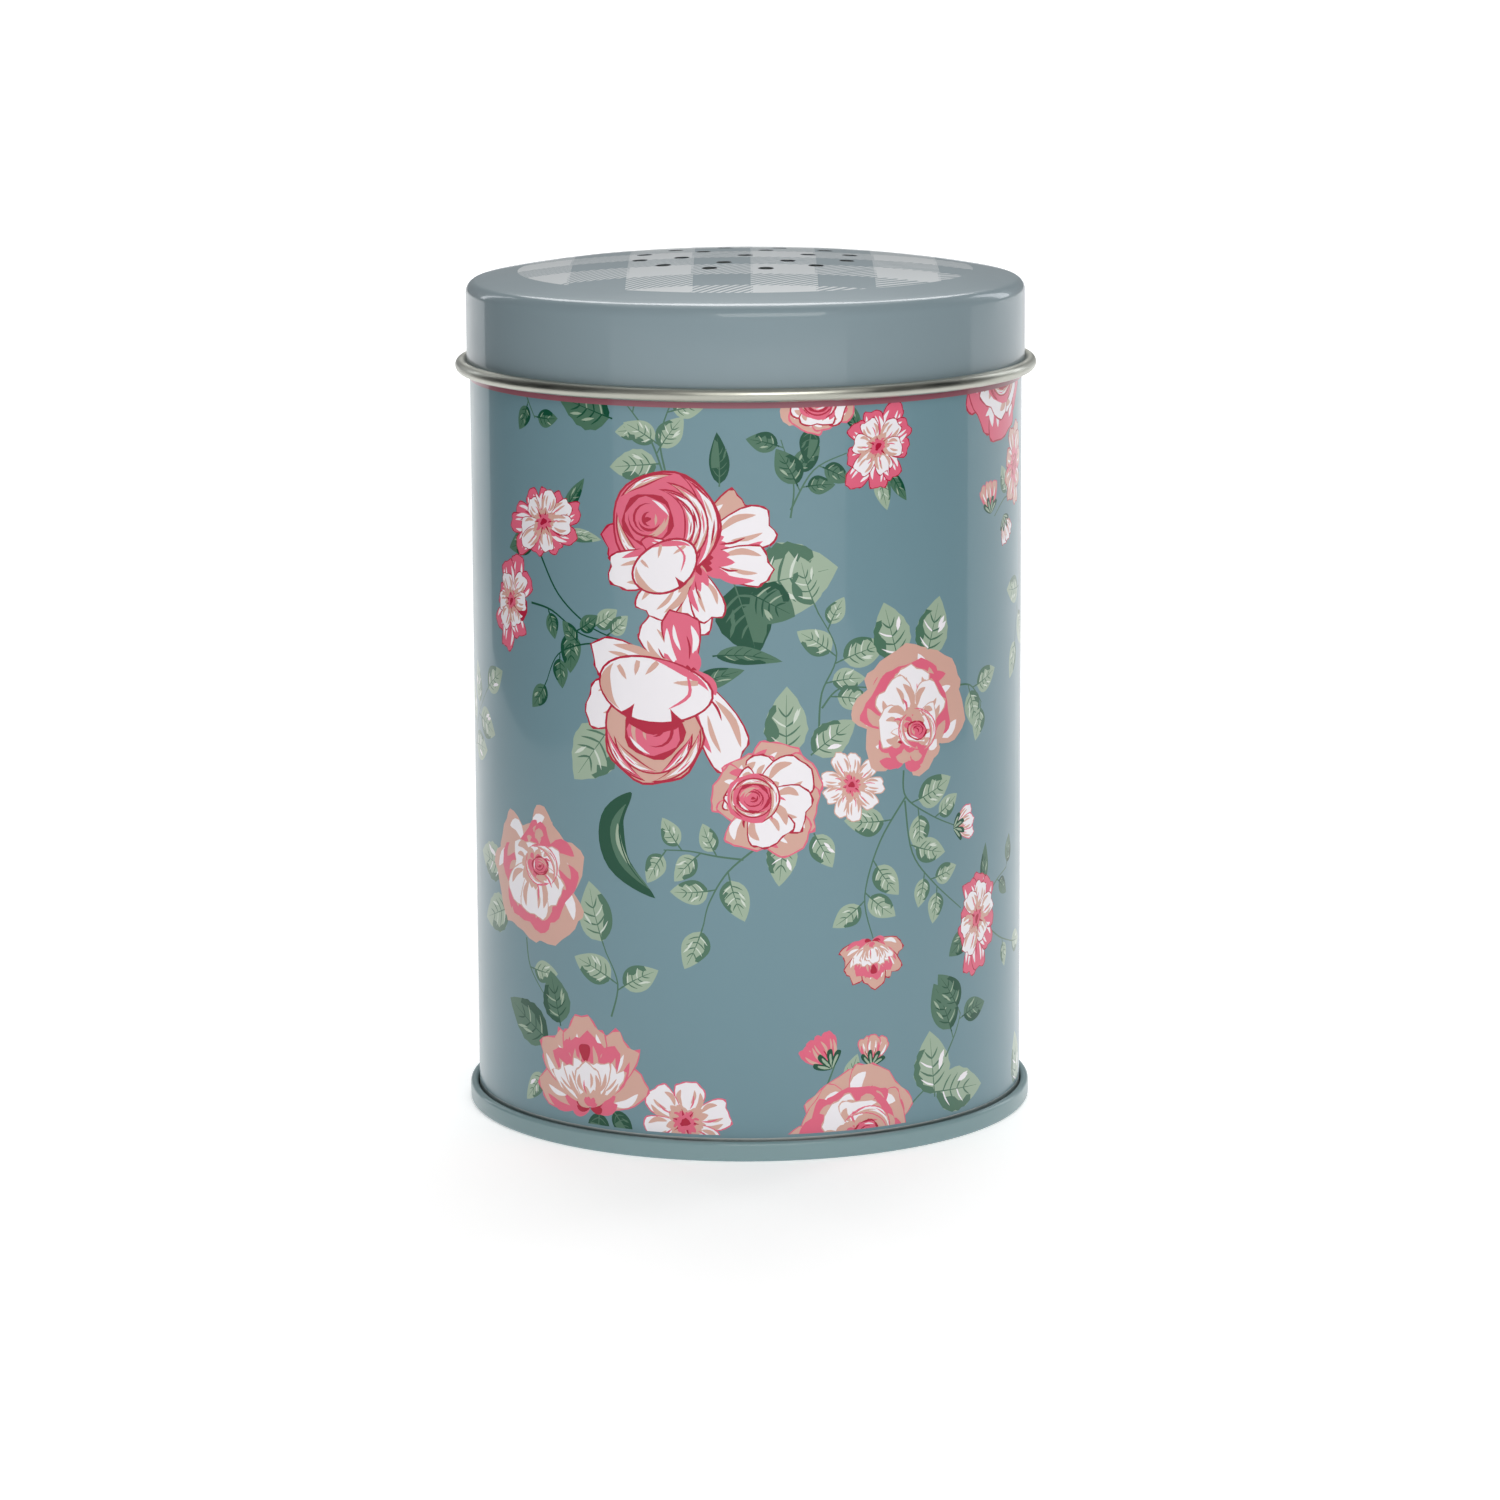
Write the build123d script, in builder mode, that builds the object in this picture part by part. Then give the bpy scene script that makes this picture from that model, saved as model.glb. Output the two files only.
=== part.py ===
"""Shaker tin: a rolled tinplate can with a seamed-on base and a perforated slip-on lid.

The frame is +Z up, in millimetres, with the origin at the centre of the face the tin stands on.
Each piece of sheet metal is drawn as the middle line of its section, traced at the thickness
of the sheet and revolved about Z. Radii of curls and turns are those of the middle line.
"""

import os
from math import asin, degrees, radians, sin

from build123d import *

# Driving dimensions, in millimetres and degrees
sheet = 0.25  # thickness of the tinplate
body_radius = 36.5  # outside of the rolled wall, for a 73 mm can
total_height = 113.4  # standing face to the crown of the lid

# Lid
lid_clearance = 0.15  # radial gap between the lid's skirt and the wall
crown_radius = 275.0
crown_reach = 20.0  # distance from the axis at which the crown gives way to the shoulder
shoulder_radius = 125.0
knuckle_radius = 1.575  # corner between the shoulder and the skirt
skirt_curl_height = 99.375  # centre of the curl at the skirt's open end
skirt_curl_radius = 0.75
skirt_curl_turn = 298.0
hole_diameter = 2.0
hole_rings = ((0.0, 1), (8.5, 6), (14.1, 12))  # distance from the axis, number of holes
hole_phase = 11.0  # angle of each ring's first hole from +X

# Rim of the can
rim_curl_height = 108.85  # centre of the inward curl at the can's mouth
rim_curl_radius = 0.625
rim_curl_turn = 290.0

# Double seam at the base, from the inside out: chuck wall, can, base's hook, can's hook,
# seaming wall
layer_pitch = 0.4  # spacing of the middle lines of neighbouring layers
chuck_step = 0.3  # the base's chuck wall is pressed nearly against the can
body_turn_height = 0.975  # centre of the turn from the can's wall into its hook
body_hook_top = 2.15
seam_turn_height = 2.075  # centre of the turn from the seaming wall into the base's hook
end_hook_bottom = 1.0
foot_radius = 0.4  # corners either side of the standing face

# Sunk panel of the base
panel_height = 3.0  # underside of the panel
panel_corner = 0.625
bead_reach = 28.0  # distance from the axis at which the stiffening bead starts
bead_radius = 1.2
bead_turn = 40.0

# Lock seam down the back of the can
lock_width = 3.5
lock_depth = 0.75
lock_bottom, lock_top = 4.5, 107.6
groove_width, groove_depth = 0.5, 0.12
groove_bottom = 2.9

# Sealing compound inside the double seam
compound_inner, compound_outer = 36.5, 37.1
compound_bottom, compound_top = 0.27, 0.43

# Sizes that follow from the driving dimensions
wall_middle = body_radius - sheet / 2
skirt_middle = body_radius + lid_clearance + sheet / 2
crown_height = total_height - sheet / 2
crown_angle = degrees(asin(crown_reach / crown_radius))
body_hook_middle = wall_middle + 2 * layer_pitch
end_hook_middle = wall_middle + layer_pitch
seaming_middle = wall_middle + 3 * layer_pitch
chuck_middle = wall_middle - chuck_step

# Slope at which the shoulder meets the knuckle, so that the skirt lands on its own radius
shoulder_run = skirt_middle - knuckle_radius - (crown_radius - shoulder_radius) * sin(radians(crown_angle))
shoulder_angle = degrees(asin(shoulder_run / (shoulder_radius - knuckle_radius)))


# The can: wall with its hook at the bottom, an inward curl at the mouth and a lock seam
with BuildPart() as can_body:
    with BuildSketch(Plane.XZ):
        with BuildLine():
            hook = Line((body_hook_middle, body_hook_top), (body_hook_middle, body_turn_height))
            turn = JernArc(hook @ 1, hook % 1, layer_pitch, -180)
            wall = Line(turn @ 1, (wall_middle, rim_curl_height))
            JernArc(wall @ 1, wall % 1, rim_curl_radius, rim_curl_turn)
        trace(line_width=sheet)
    revolve(axis=Axis.Z)

    lock_middle = body_radius - sheet - lock_depth / 2
    with BuildSketch(Plane.XY.offset(lock_bottom)):
        with Locations((0, lock_middle + sheet / 4)):
            Rectangle(lock_width, lock_depth + sheet / 2)
    extrude(amount=lock_top - lock_bottom)

    with BuildSketch(Plane.XY.offset(groove_bottom)):
        with Locations((lock_width / 2, body_radius)):
            Rectangle(groove_width, 2 * groove_depth)
    extrude(amount=lock_top - groove_bottom, mode=Mode.SUBTRACT)
can_body.part.label = "can_body"

# The base: a sunk panel whose rim wraps the can's hook in a double seam
with BuildPart() as base_end:
    with BuildSketch(Plane.XZ):
        with BuildLine():
            panel = Line((0, panel_height + sheet / 2), (bead_reach, panel_height + sheet / 2))
            rise = JernArc(panel @ 1, panel % 1, bead_radius, bead_turn)
            top = JernArc(rise @ 1, rise % 1, bead_radius, -2 * bead_turn)
            fall = JernArc(top @ 1, top % 1, bead_radius, bead_turn)
            edge = Line(fall @ 1, (chuck_middle - panel_corner, panel_height + sheet / 2))
            corner = JernArc(edge @ 1, edge % 1, panel_corner, -90)
            chuck = Line(corner @ 1, (chuck_middle, sheet / 2 + foot_radius))
            inner_foot = JernArc(chuck @ 1, chuck % 1, foot_radius, 90)
            foot = Line(inner_foot @ 1, (seaming_middle - foot_radius, sheet / 2))
            outer_foot = JernArc(foot @ 1, foot % 1, foot_radius, 90)
            seaming = Line(outer_foot @ 1, (seaming_middle, seam_turn_height))
            over = JernArc(seaming @ 1, seaming % 1, layer_pitch, 180)
            Line(over @ 1, (end_hook_middle, end_hook_bottom))
        trace(line_width=sheet)
    revolve(axis=Axis.Z)
base_end.part.label = "base_end"

# The sealing ring squeezed between the base's foot and the can's turn
with BuildPart() as seam_compound:
    with BuildSketch(Plane.XZ):
        with Locations(((compound_inner + compound_outer) / 2, (compound_bottom + compound_top) / 2)):
            Rectangle(compound_outer - compound_inner, compound_top - compound_bottom)
    revolve(axis=Axis.Z)
seam_compound.part.label = "seam_compound"

# The lid: a domed top with a centre hole and two rings of holes, a skirt and an outward curl
with BuildPart() as shaker_lid:
    with BuildSketch(Plane.XZ):
        with BuildLine():
            crown = JernArc((0, crown_height), (1, 0), crown_radius, -crown_angle)
            shoulder = JernArc(crown @ 1, crown % 1, shoulder_radius, crown_angle - shoulder_angle)
            knuckle = JernArc(shoulder @ 1, shoulder % 1, knuckle_radius, shoulder_angle - 90)
            skirt = Line(knuckle @ 1, (skirt_middle, skirt_curl_height))
            JernArc(skirt @ 1, skirt % 1, skirt_curl_radius, skirt_curl_turn)
        trace(line_width=sheet)
    revolve(axis=Axis.Z)

    with BuildSketch(Plane.XY.offset(rim_curl_height)):
        for reach, count in hole_rings:
            with PolarLocations(reach, count, start_angle=hole_phase):
                Circle(hole_diameter / 2)
    extrude(amount=total_height - rim_curl_height, mode=Mode.SUBTRACT)
shaker_lid.part.label = "shaker_lid"


os.makedirs("parts", exist_ok=True)
for piece in (can_body, base_end, seam_compound, shaker_lid):
    export_step(piece.part, f"parts/{piece.part.label}.step")
    box = piece.part.bounding_box()
    heights = round(box.min.Z, 3), round(box.max.Z, 3)
    print(piece.part.label, "heights", heights, "radius", round(box.max.X, 3))
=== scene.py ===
"""Looks of a printed tinplate shaker tin, laid out as a Blender add-on and run as a script.

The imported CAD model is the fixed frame. The can, lid and base are remade here as sheet metal of
the same sections, with a spot-colour print laid on the can's flat sheet before it is rolled.
"""

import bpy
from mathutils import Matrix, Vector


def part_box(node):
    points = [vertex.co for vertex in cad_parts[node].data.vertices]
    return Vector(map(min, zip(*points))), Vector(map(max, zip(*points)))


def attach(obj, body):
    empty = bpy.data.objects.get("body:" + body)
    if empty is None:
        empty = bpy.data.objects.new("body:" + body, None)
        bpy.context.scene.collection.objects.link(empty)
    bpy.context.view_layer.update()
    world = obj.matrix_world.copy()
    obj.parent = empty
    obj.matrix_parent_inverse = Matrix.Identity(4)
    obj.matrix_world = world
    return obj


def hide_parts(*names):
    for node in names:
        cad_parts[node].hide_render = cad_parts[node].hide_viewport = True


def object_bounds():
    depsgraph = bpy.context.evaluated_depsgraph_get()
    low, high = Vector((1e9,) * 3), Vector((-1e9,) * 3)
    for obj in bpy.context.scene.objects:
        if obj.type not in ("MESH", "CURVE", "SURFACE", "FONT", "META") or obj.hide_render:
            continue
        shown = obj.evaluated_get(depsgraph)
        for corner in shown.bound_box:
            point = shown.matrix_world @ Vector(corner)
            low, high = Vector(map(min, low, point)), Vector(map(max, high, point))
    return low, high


bl_info = {
    "name": "Shaker Tin",
    "version": (1, 0, 0),
    "blender": (4, 5, 0),
    "location": "3D View > Sidebar > Tin",
    "description": "Makes a printed tinplate shaker tin and the stage that it stands on",
    "category": "Add Mesh",
}

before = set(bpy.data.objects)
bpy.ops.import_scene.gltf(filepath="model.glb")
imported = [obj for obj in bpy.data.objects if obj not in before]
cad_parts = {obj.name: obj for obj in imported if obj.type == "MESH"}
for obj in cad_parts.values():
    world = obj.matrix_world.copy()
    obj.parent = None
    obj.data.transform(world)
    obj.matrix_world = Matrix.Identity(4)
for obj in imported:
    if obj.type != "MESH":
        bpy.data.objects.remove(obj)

from math import asin, atan2, cos, hypot, pi, radians, sin, sqrt
from random import Random

import bmesh
import bpy
from mathutils import Quaternion, Vector
from mathutils.bvhtree import BVHTree
from mathutils.geometry import delaunay_2d_cdt

CAD_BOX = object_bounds()  # taken straight after loading
MM = 0.001  # drawing is in millimetres, meshes are in metres

# Sizes in millimetres: the spacing in the seam, then the outer sizes read from the frame
LAYER = 0.4  # spacing of the sheets in the double seam
HOOK_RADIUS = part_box("can_body")[1].x / MM
WALL_RADIUS = HOOK_RADIUS - 2 * LAYER
SEAM_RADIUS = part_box("base_end")[1].x / MM
CURL_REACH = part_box("shaker_lid")[1].x / MM
CURL_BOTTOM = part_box("shaker_lid")[0].z / MM
TIN_HEIGHT = CAD_BOX[1].z / MM
RIM_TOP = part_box("can_body")[1].z / MM
TOTAL_TURN = 2 * pi


# ------------------------------------------------------------------ settings

class TinSheetSettings(bpy.types.PropertyGroup):
    """Sizes of the sheet metal, in metres."""

    thickness: bpy.props.FloatProperty(
        name="Sheet", description="Thickness of the tinplate", default=0.25 * MM, unit="LENGTH", precision=5)
    columns: bpy.props.IntProperty(
        name="Columns", description="Flat strips round the can and the lid", default=144, min=24)


class TinColourSettings(bpy.types.PropertyGroup):
    """Spot colours of the print and the enamels, as sRGB hex values."""

    ground: bpy.props.StringProperty(name="Ground", description="Duck-egg ground of the can",
        default="6E8D97")
    neck: bpy.props.StringProperty(name="Neck", description="Dusty pink of the neck", default="9A5E6A")
    white: bpy.props.StringProperty(name="White", description="Petal white", default="ECE9EE")
    blush: bpy.props.StringProperty(name="Blush", description="Pale petals", default="D0A598")
    coral: bpy.props.StringProperty(name="Coral", description="Shaded petals", default="DB647F")
    crimson: bpy.props.StringProperty(name="Crimson", description="Drawn petal edges", default="AE1538")
    sage: bpy.props.StringProperty(name="Sage", description="Light side of the leaves", default="9AAE99")
    mist: bpy.props.StringProperty(name="Mist", description="Lights on the leaves", default="CBD5CA")
    fern: bpy.props.StringProperty(name="Fern", description="Shadow side of the leaves", default="4A705B")
    forest: bpy.props.StringProperty(name="Forest", description="Deepest leaves and stems", default="0C4A34")
    lid: bpy.props.StringProperty(name="Lid", description="Grey-blue of the lid", default="84959C")
    check: bpy.props.StringProperty(name="Check", description="White of the lid's gingham", default="D3D8DA")
    base: bpy.props.StringProperty(name="Base", description="Grey-blue of the base", default="7F999D")


class TinStageSettings(bpy.types.PropertyGroup):
    """Camera and floor."""

    camera_distance: bpy.props.FloatProperty(
        name="Distance", description="Camera to the tin's axis", default=0.7274, unit="LENGTH")
    camera_height: bpy.props.FloatProperty(
        name="Height", description="Camera above the standing face", default=0.1836, unit="LENGTH")
    camera_side: bpy.props.FloatProperty(
        name="Side", description="Camera to the right of the tin's axis", default=0.0003, unit="LENGTH",
        precision=5)
    camera_pitch: bpy.props.FloatProperty(
        name="Pitch", description="How far the camera looks down", default=radians(10.634), unit="ROTATION")
    camera_roll: bpy.props.FloatProperty(
        name="Roll", description="Tilt of the camera", default=radians(-0.3), unit="ROTATION")
    lens: bpy.props.FloatProperty(name="Lens", description="Focal length in millimetres", default=132.5)
    floor: bpy.props.StringProperty(name="Floor", description="Floor and backdrop", default="F6F6F6")


# ------------------------------------------------------------------ drawing kit

class Pen:
    """Draws closed shapes, in millimetres, on the flat sheet, at one place, turn and size."""

    def __init__(self, shapes, x=0.0, y=0.0, turn=0.0, size=1.0, mirror=1.0):
        self.shapes = shapes
        self.x, self.y, self.size, self.mirror = x, y, size, mirror
        self.cos, self.sin = cos(turn) * size, sin(turn) * size
        self.turn = turn

    def point(self, x, y):
        """Where a point of the drawing lies on the sheet."""
        x *= self.mirror
        return self.x + x * self.cos - y * self.sin, self.y + x * self.sin + y * self.cos

    def lay(self, ink, outline):
        """Lays one closed shape over those already drawn."""
        self.shapes.append((ink, [self.point(x, y) for x, y in outline]))

    def at(self, x, y, turn=0.0, size=1.0):
        """Another pen whose origin and turn are given in this pen's own frame."""
        px, py = self.point(x, y)
        return Pen(self.shapes, px, py, self.turn + turn * self.mirror, self.size * size, self.mirror)


def smooth_path(points, steps=5):
    """A curve through given points."""
    if len(points) == 2:
        (ax, ay), (bx, by) = points
        return [(ax + (bx - ax) * i / steps, ay + (by - ay) * i / steps) for i in range(steps + 1)]
    ends = [points[0], *points, points[-1]]
    path = []
    for a, b, c, d in zip(ends, ends[1:], ends[2:], ends[3:]):
        for i in range(steps):
            t = i / steps
            path.append(tuple(
                0.5 * (2 * q + (r - p) * t + (2 * p - 5 * q + 4 * r - s) * t * t
                       + (3 * q - p - 3 * r + s) * t ** 3)
                for p, q, r, s in zip(a, b, c, d)))
    path.append(points[-1])
    return path


def brush(points, start, end, belly=0.0, steps=5):
    """Outline of a brush stroke along a path, with its width at both ends and its swelling."""
    path = smooth_path(points, steps)
    left, right = [], []
    last = len(path) - 1
    for i, (x, y) in enumerate(path):
        ax, ay = path[max(i - 1, 0)]
        bx, by = path[min(i + 1, last)]
        length = hypot(bx - ax, by - ay) or 1.0
        t = i / last
        half = (start + (end - start) * t + belly * sin(pi * t)) / 2
        nx, ny = (ay - by) / length * half, (bx - ax) / length * half
        left.append((x + nx, y + ny))
        right.append((x - nx, y - ny))
    return left + right[::-1]


def petal(length, width, taper=0.5, lean=0.0, ruffle=0.0, lobes=5, phase=0.0, steps=26):
    """A petal from its base at the origin to its tip up the sheet."""
    points = []
    for i in range(steps):
        turn = 2 * pi * i / steps
        along = (1 - cos(turn)) / 2
        wave = 1 + ruffle * along * (cos(lobes * turn + phase) + 0.5 * cos((2 * lobes + 1) * turn - phase))
        across = width / 2 * sin(turn) * along ** taper * (1 + 0.3 * taper) * wave
        points.append((across + lean * length * along ** 2, length * (1 - (1 - along) ** 1.45) * wave))
    return points


def crescent(radius, start, end, thickness, squash=1.0, steps=8):
    """Part of a ring, thickest in its middle, between two angles in degrees."""
    outer, inner = [], []
    for i in range(steps + 1):
        t = i / steps
        a = radians(start + (end - start) * t)
        thin = thickness * sin(pi * t)
        outer.append((radius * cos(a), radius * squash * sin(a)))
        inner.append(((radius - thin) * cos(a), (radius - thin) * squash * sin(a)))
    return outer + inner[-2:0:-1]


def blot(rx, ry, ruffle=0.0, lobes=5, phase=0.0, steps=20):
    """A rounded patch with a wavy edge."""
    points = []
    for i in range(steps):
        a = 2 * pi * i / steps
        wave = 1 + ruffle * cos(lobes * a + phase)
        points.append((rx * cos(a) * wave, ry * sin(a) * wave))
    return points


def fan(pen, ink, chance, length, width, count, spread, thick=0.2, lean=0.0):
    """Pointed brush strokes that open out from a petal's base, of uneven length."""
    for k in range(count):
        side = ((k + 0.5) / count * 2 - 1 + chance.uniform(-0.12, 0.12)) if count > 1 else 0.0
        reach = length * chance.uniform(0.6, 1.05) * (1 - 0.2 * abs(side))
        tip = (side * spread * width / 2 + lean * reach, reach)
        bend = (side * spread * width * 0.42 + lean * reach * 0.3, reach * 0.55)
        pen.lay(ink, brush([(0, 0), bend, tip], width * thick * 0.5, 0.01, width * thick, 4))


def painted_petal(pen, length, width, tone, chance, line=0.26, lean=0.0, ruffle=0.04, light=1.0):
    """One petal: its drawn edge, its field, a turned side, and strokes that open from its base."""
    edge, shade, field, deep, streak = tone
    phase, lobes = chance.uniform(0, 2 * pi), chance.choice((3, 4, 5))
    hand = chance.choice((-1, 1))
    taper = chance.uniform(0.2, 0.4)
    pen.lay(edge, petal(length, width, taper, lean, ruffle, lobes, phase))
    inset = pen.at(0, line * 0.7)
    inner, across = length - line * 1.5, width - line * 1.9
    inset.lay(field, petal(inner, across, taper, lean, ruffle, lobes, phase, 22))

    def side_stroke(ink, hand, low, high, out, thick):
        """A stroke that follows one side of the petal."""
        inset.lay(ink, brush([
            (hand * across * out * 0.55 + lean * inner * low ** 2, inner * low),
            (hand * across * out + lean * inner * ((low + high) / 2) ** 2, inner * (low + high) / 2),
            (hand * across * out * 0.86 + lean * inner * high ** 2, inner * high)], 0.03, 0.03,
            across * thick, 4))

    side_stroke(shade if field != shade else (streak or shade), hand, 0.2, 0.8, 0.37, 0.17)
    if streak and light > 0:
        side_stroke(streak, -hand, 0.35, chance.uniform(0.75, 0.9), 0.33, 0.15)
        side_stroke(streak, hand, 0.45, 0.84, 0.16, 0.1 * light)
    fan(inset, shade, chance, inner * 0.52, across, 4, 0.62, 0.22, lean * 0.5)
    if deep:
        fan(inset, deep, chance, inner * 0.3, across, 3, 0.42, 0.15, lean * 0.3)
        side_stroke(deep, chance.choice((-1, 1)) * 0.5, 0.3, chance.uniform(0.55, 0.72), 0.3, 0.05)


def wrap(pen, radius, start, end, thickness, tone, chance, squash=0.95, line=0.24):
    """A petal seen edge on, that wraps part of the way round the heart."""
    edge, shade, field, deep, streak = tone
    pen.lay(edge, crescent(radius, start, end, thickness, squash, 14))
    span = end - start
    pen.lay(shade, crescent(radius - line, start + span * 0.05, end - span * 0.05, thickness - 2 * line,
        squash, 14))
    if thickness > 4 * line:
        pen.lay(field, crescent(radius - line * 1.2, start + span * 0.12, end - span * 0.1,
                                (thickness - 2 * line) * 0.62, squash, 12))
        for k in range(4):
            first = start + span * (0.16 + 0.17 * k + chance.uniform(-0.04, 0.04))
            ink = (deep or shade) if k % 2 else (streak or shade)
            pen.lay(ink, crescent(radius - line * 1.3 - thickness * 0.12 * (k % 3), first,
                first + span * 0.24,
                                  thickness * 0.13, squash, 6))


# Tones: edge, shaded field, lit field, deepest strokes, streaks
SNOW = ("crimson", "coral", "white", "crimson", "blush")
SNOW_WARM = ("crimson", "blush", "white", "coral", "blush")
ROSY = ("crimson", "coral", "coral", "crimson", "white")
ROSY_WARM = ("crimson", "coral", "blush", "crimson", "white")
BLUSH = ("blush", "coral", "blush", None, "white")
BLUSH_EDGED = ("coral", "coral", "blush", "crimson", "white")
CORAL = ("coral", "coral", "coral", "crimson", "blush")
PALE = ("blush", "blush", "white", "coral", "blush")
PALE_EDGED = ("coral", "blush", "white", "coral", "blush")


def heart(pen, radius, chance, squash=0.9, outer="crimson", field="coral"):
    """The rolled middle of a rose: uneven folds that wind inwards."""
    pen.lay(outer, blot(radius, radius * squash, 0.05, 5, chance.uniform(0, 6)))
    pen.lay(field, blot(radius * 0.86, radius * squash * 0.85, 0.06, 5, chance.uniform(0, 6)))
    start = chance.uniform(0, 360)
    for k, (ink, reach, thick, sweep) in enumerate((
            ("blush", 0.8, 0.15, 120), ("white", 0.78, 0.13, 70), ("crimson", 0.7, 0.09, 150),
            ("blush", 0.6, 0.14, 100),
            ("crimson", 0.56, 0.1, 190), ("crimson", 0.42, 0.12, 170), ("blush", 0.36, 0.1, 80),
            ("crimson", 0.28, 0.14, 200))):
        first = start + k * 128 + chance.uniform(-25, 25)
        part = pen.at(radius * chance.uniform(-0.08, 0.08), radius * chance.uniform(-0.08, 0.08))
        part.lay(ink, crescent(radius * reach, first, first + sweep, radius * thick, squash, 8))
    pen.lay("crimson", blot(radius * 0.14, radius * 0.09, 0.2, 3, 1, 10))


def petals(pen, radius, chance, rows, line=0.26):
    """Petals set one by one: base x and y, direction in degrees from up, length and width in radii, tone."""
    for x, y, turn, length, width, tone in rows:
        part = pen.at(x * radius, y * radius, radians(turn))
        painted_petal(part, length * radius, width * radius, tone, chance, line, chance.uniform(-0.1, 0.1))


def ring(pen, radius, chance, count, reach, width, tone, hub=(0.0, 0.0), squash=1.0, first=0, line=0.24):
    """Petals all round, from near a hub out to the rim, the lowest of them in front."""
    angles = [first + 360 * (k + chance.uniform(-0.14, 0.14)) / count for k in range(count)]
    for angle in sorted(angles, key=lambda a: abs((a - 270 + 180) % 360 - 180), reverse=True):
        a = radians(angle)
        far = reach * chance.uniform(0.84, 1.08)
        dx = cos(a) * radius * far - hub[0] * radius
        dy = sin(a) * radius * far * squash - hub[1] * radius
        part = pen.at(hub[0] * radius, hub[1] * radius, atan2(-dx, dy))
        painted_petal(part, hypot(dx, dy), 2 * pi * radius * reach / count * width, tone, chance, line,
                      chance.uniform(-0.12, 0.12))


def folded(pen, rx, ry, tone, chance, turn=0.0, notches=2, line=0.3, lit=1.0):
    """A broad petal folded over towards the viewer: a white dome with a notched lower edge."""
    edge, shade, field, deep, streak = tone
    part = pen.at(0, 0, turn)
    phase = chance.uniform(0, 6)
    part.lay(edge, blot(rx, ry, 0.03, 3, phase, 30))
    part.lay(field, blot(rx - line, ry - line, 0.03, 3, phase, 28))
    flat = (ry - line) / (rx - line)
    part.lay(streak or shade, crescent((rx - line) * 0.98, 140, 235, rx * 0.2, flat, 12))
    part.lay(shade, crescent((rx - line) * 0.99, 12, 96, rx * 0.2 * lit, flat, 12))
    for k in range(5):
        a = radians(30 + 26 * k + chance.uniform(-8, 8))
        foot = (rx * 0.84 * cos(a), ry * 0.84 * sin(a))
        tip = (rx * 0.5 * cos(a + 0.35), ry * 0.42 * sin(a + 0.3))
        part.lay(streak or shade, brush([foot, tip], rx * 0.07, 0.02, rx * 0.05, 3))
    part.lay(shade, brush([(rx * 0.55, ry * 0.62), (rx * 0.62, 0), (rx * 0.3, -ry * 0.5)], 0.1, 0.03,
        rx * 0.05, 4))
    for k in range(notches):
        a = radians(-90 + (k - (notches - 1) / 2) * 50 + chance.uniform(-10, 10))
        foot, tip = (rx * 1.02 * cos(a), ry * 1.04 * sin(a)), (rx * 0.7 * cos(a), ry * 0.55 * sin(a))
        part.lay(edge, brush([foot, tip], rx * 0.26, 0.03, -rx * 0.03, 3))


def cabbage_rose(pen, radius, seed):
    """A full rose whose rolled globe sits up to the left of its throat."""
    chance = Random(seed)
    petals(pen, radius, chance, (
        (0.2, -0.1, -44, 1.0, 0.6, ROSY_WARM), (0.2, -0.05, -66, 1.12, 0.66, SNOW),
        (0.22, -0.2, -92, 1.0, 0.62, SNOW),
        (0.2, -0.2, 178, 0.98, 0.62, SNOW_WARM), (0.15, -0.2, -158, 0.85, 0.5, SNOW),
        (0.1, 0.0, 92, 1.18, 0.66, ROSY),
    ))
    globe = pen.at(-0.2 * radius, 0.28 * radius)
    globe.lay("crimson", blot(radius * 0.76, radius * 0.72, 0.02, 5, 0, 32))
    globe.lay("coral", blot(radius * 0.73, radius * 0.69, 0.02, 5, 0, 32))
    for reach, start, end, thick, tone in (
            (0.74, -66, 74, 0.24, SNOW), (0.72, 80, 150, 0.13, SNOW_WARM), (0.6, -70, 88, 0.2, SNOW_WARM),
            (0.5, -64, 100, 0.19, SNOW), (0.42, -70, 70, 0.15, SNOW), (0.7, 168, 262, 0.16, SNOW_WARM)):
        wrap(globe, radius * reach, start, end, radius * thick, tone, chance)
    heart(globe.at(-0.24 * radius, 0.06 * radius, 0.4), radius * 0.37, chance, 0.94)
    for k, bend in enumerate((-0.1, -0.24)):
        globe.at(-0.2 * radius, bend * radius).lay("blush" if k else "white", crescent(
            radius * 0.44, 205, 325, radius * 0.1, 0.8, 10))
    petals(pen, radius, chance, (
        (0.12, -0.16, 104, 1.16, 0.6, SNOW), (0.2, -0.2, 140, 1.02, 0.6, SNOW_WARM),
        (0.18, -0.12, 82, 0.7, 0.3, ROSY),
    ))
    folded(pen.at(-0.2 * radius, -0.28 * radius, radians(30)), radius * 0.5, radius * 0.34, SNOW, chance,
        0, 1)


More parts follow.
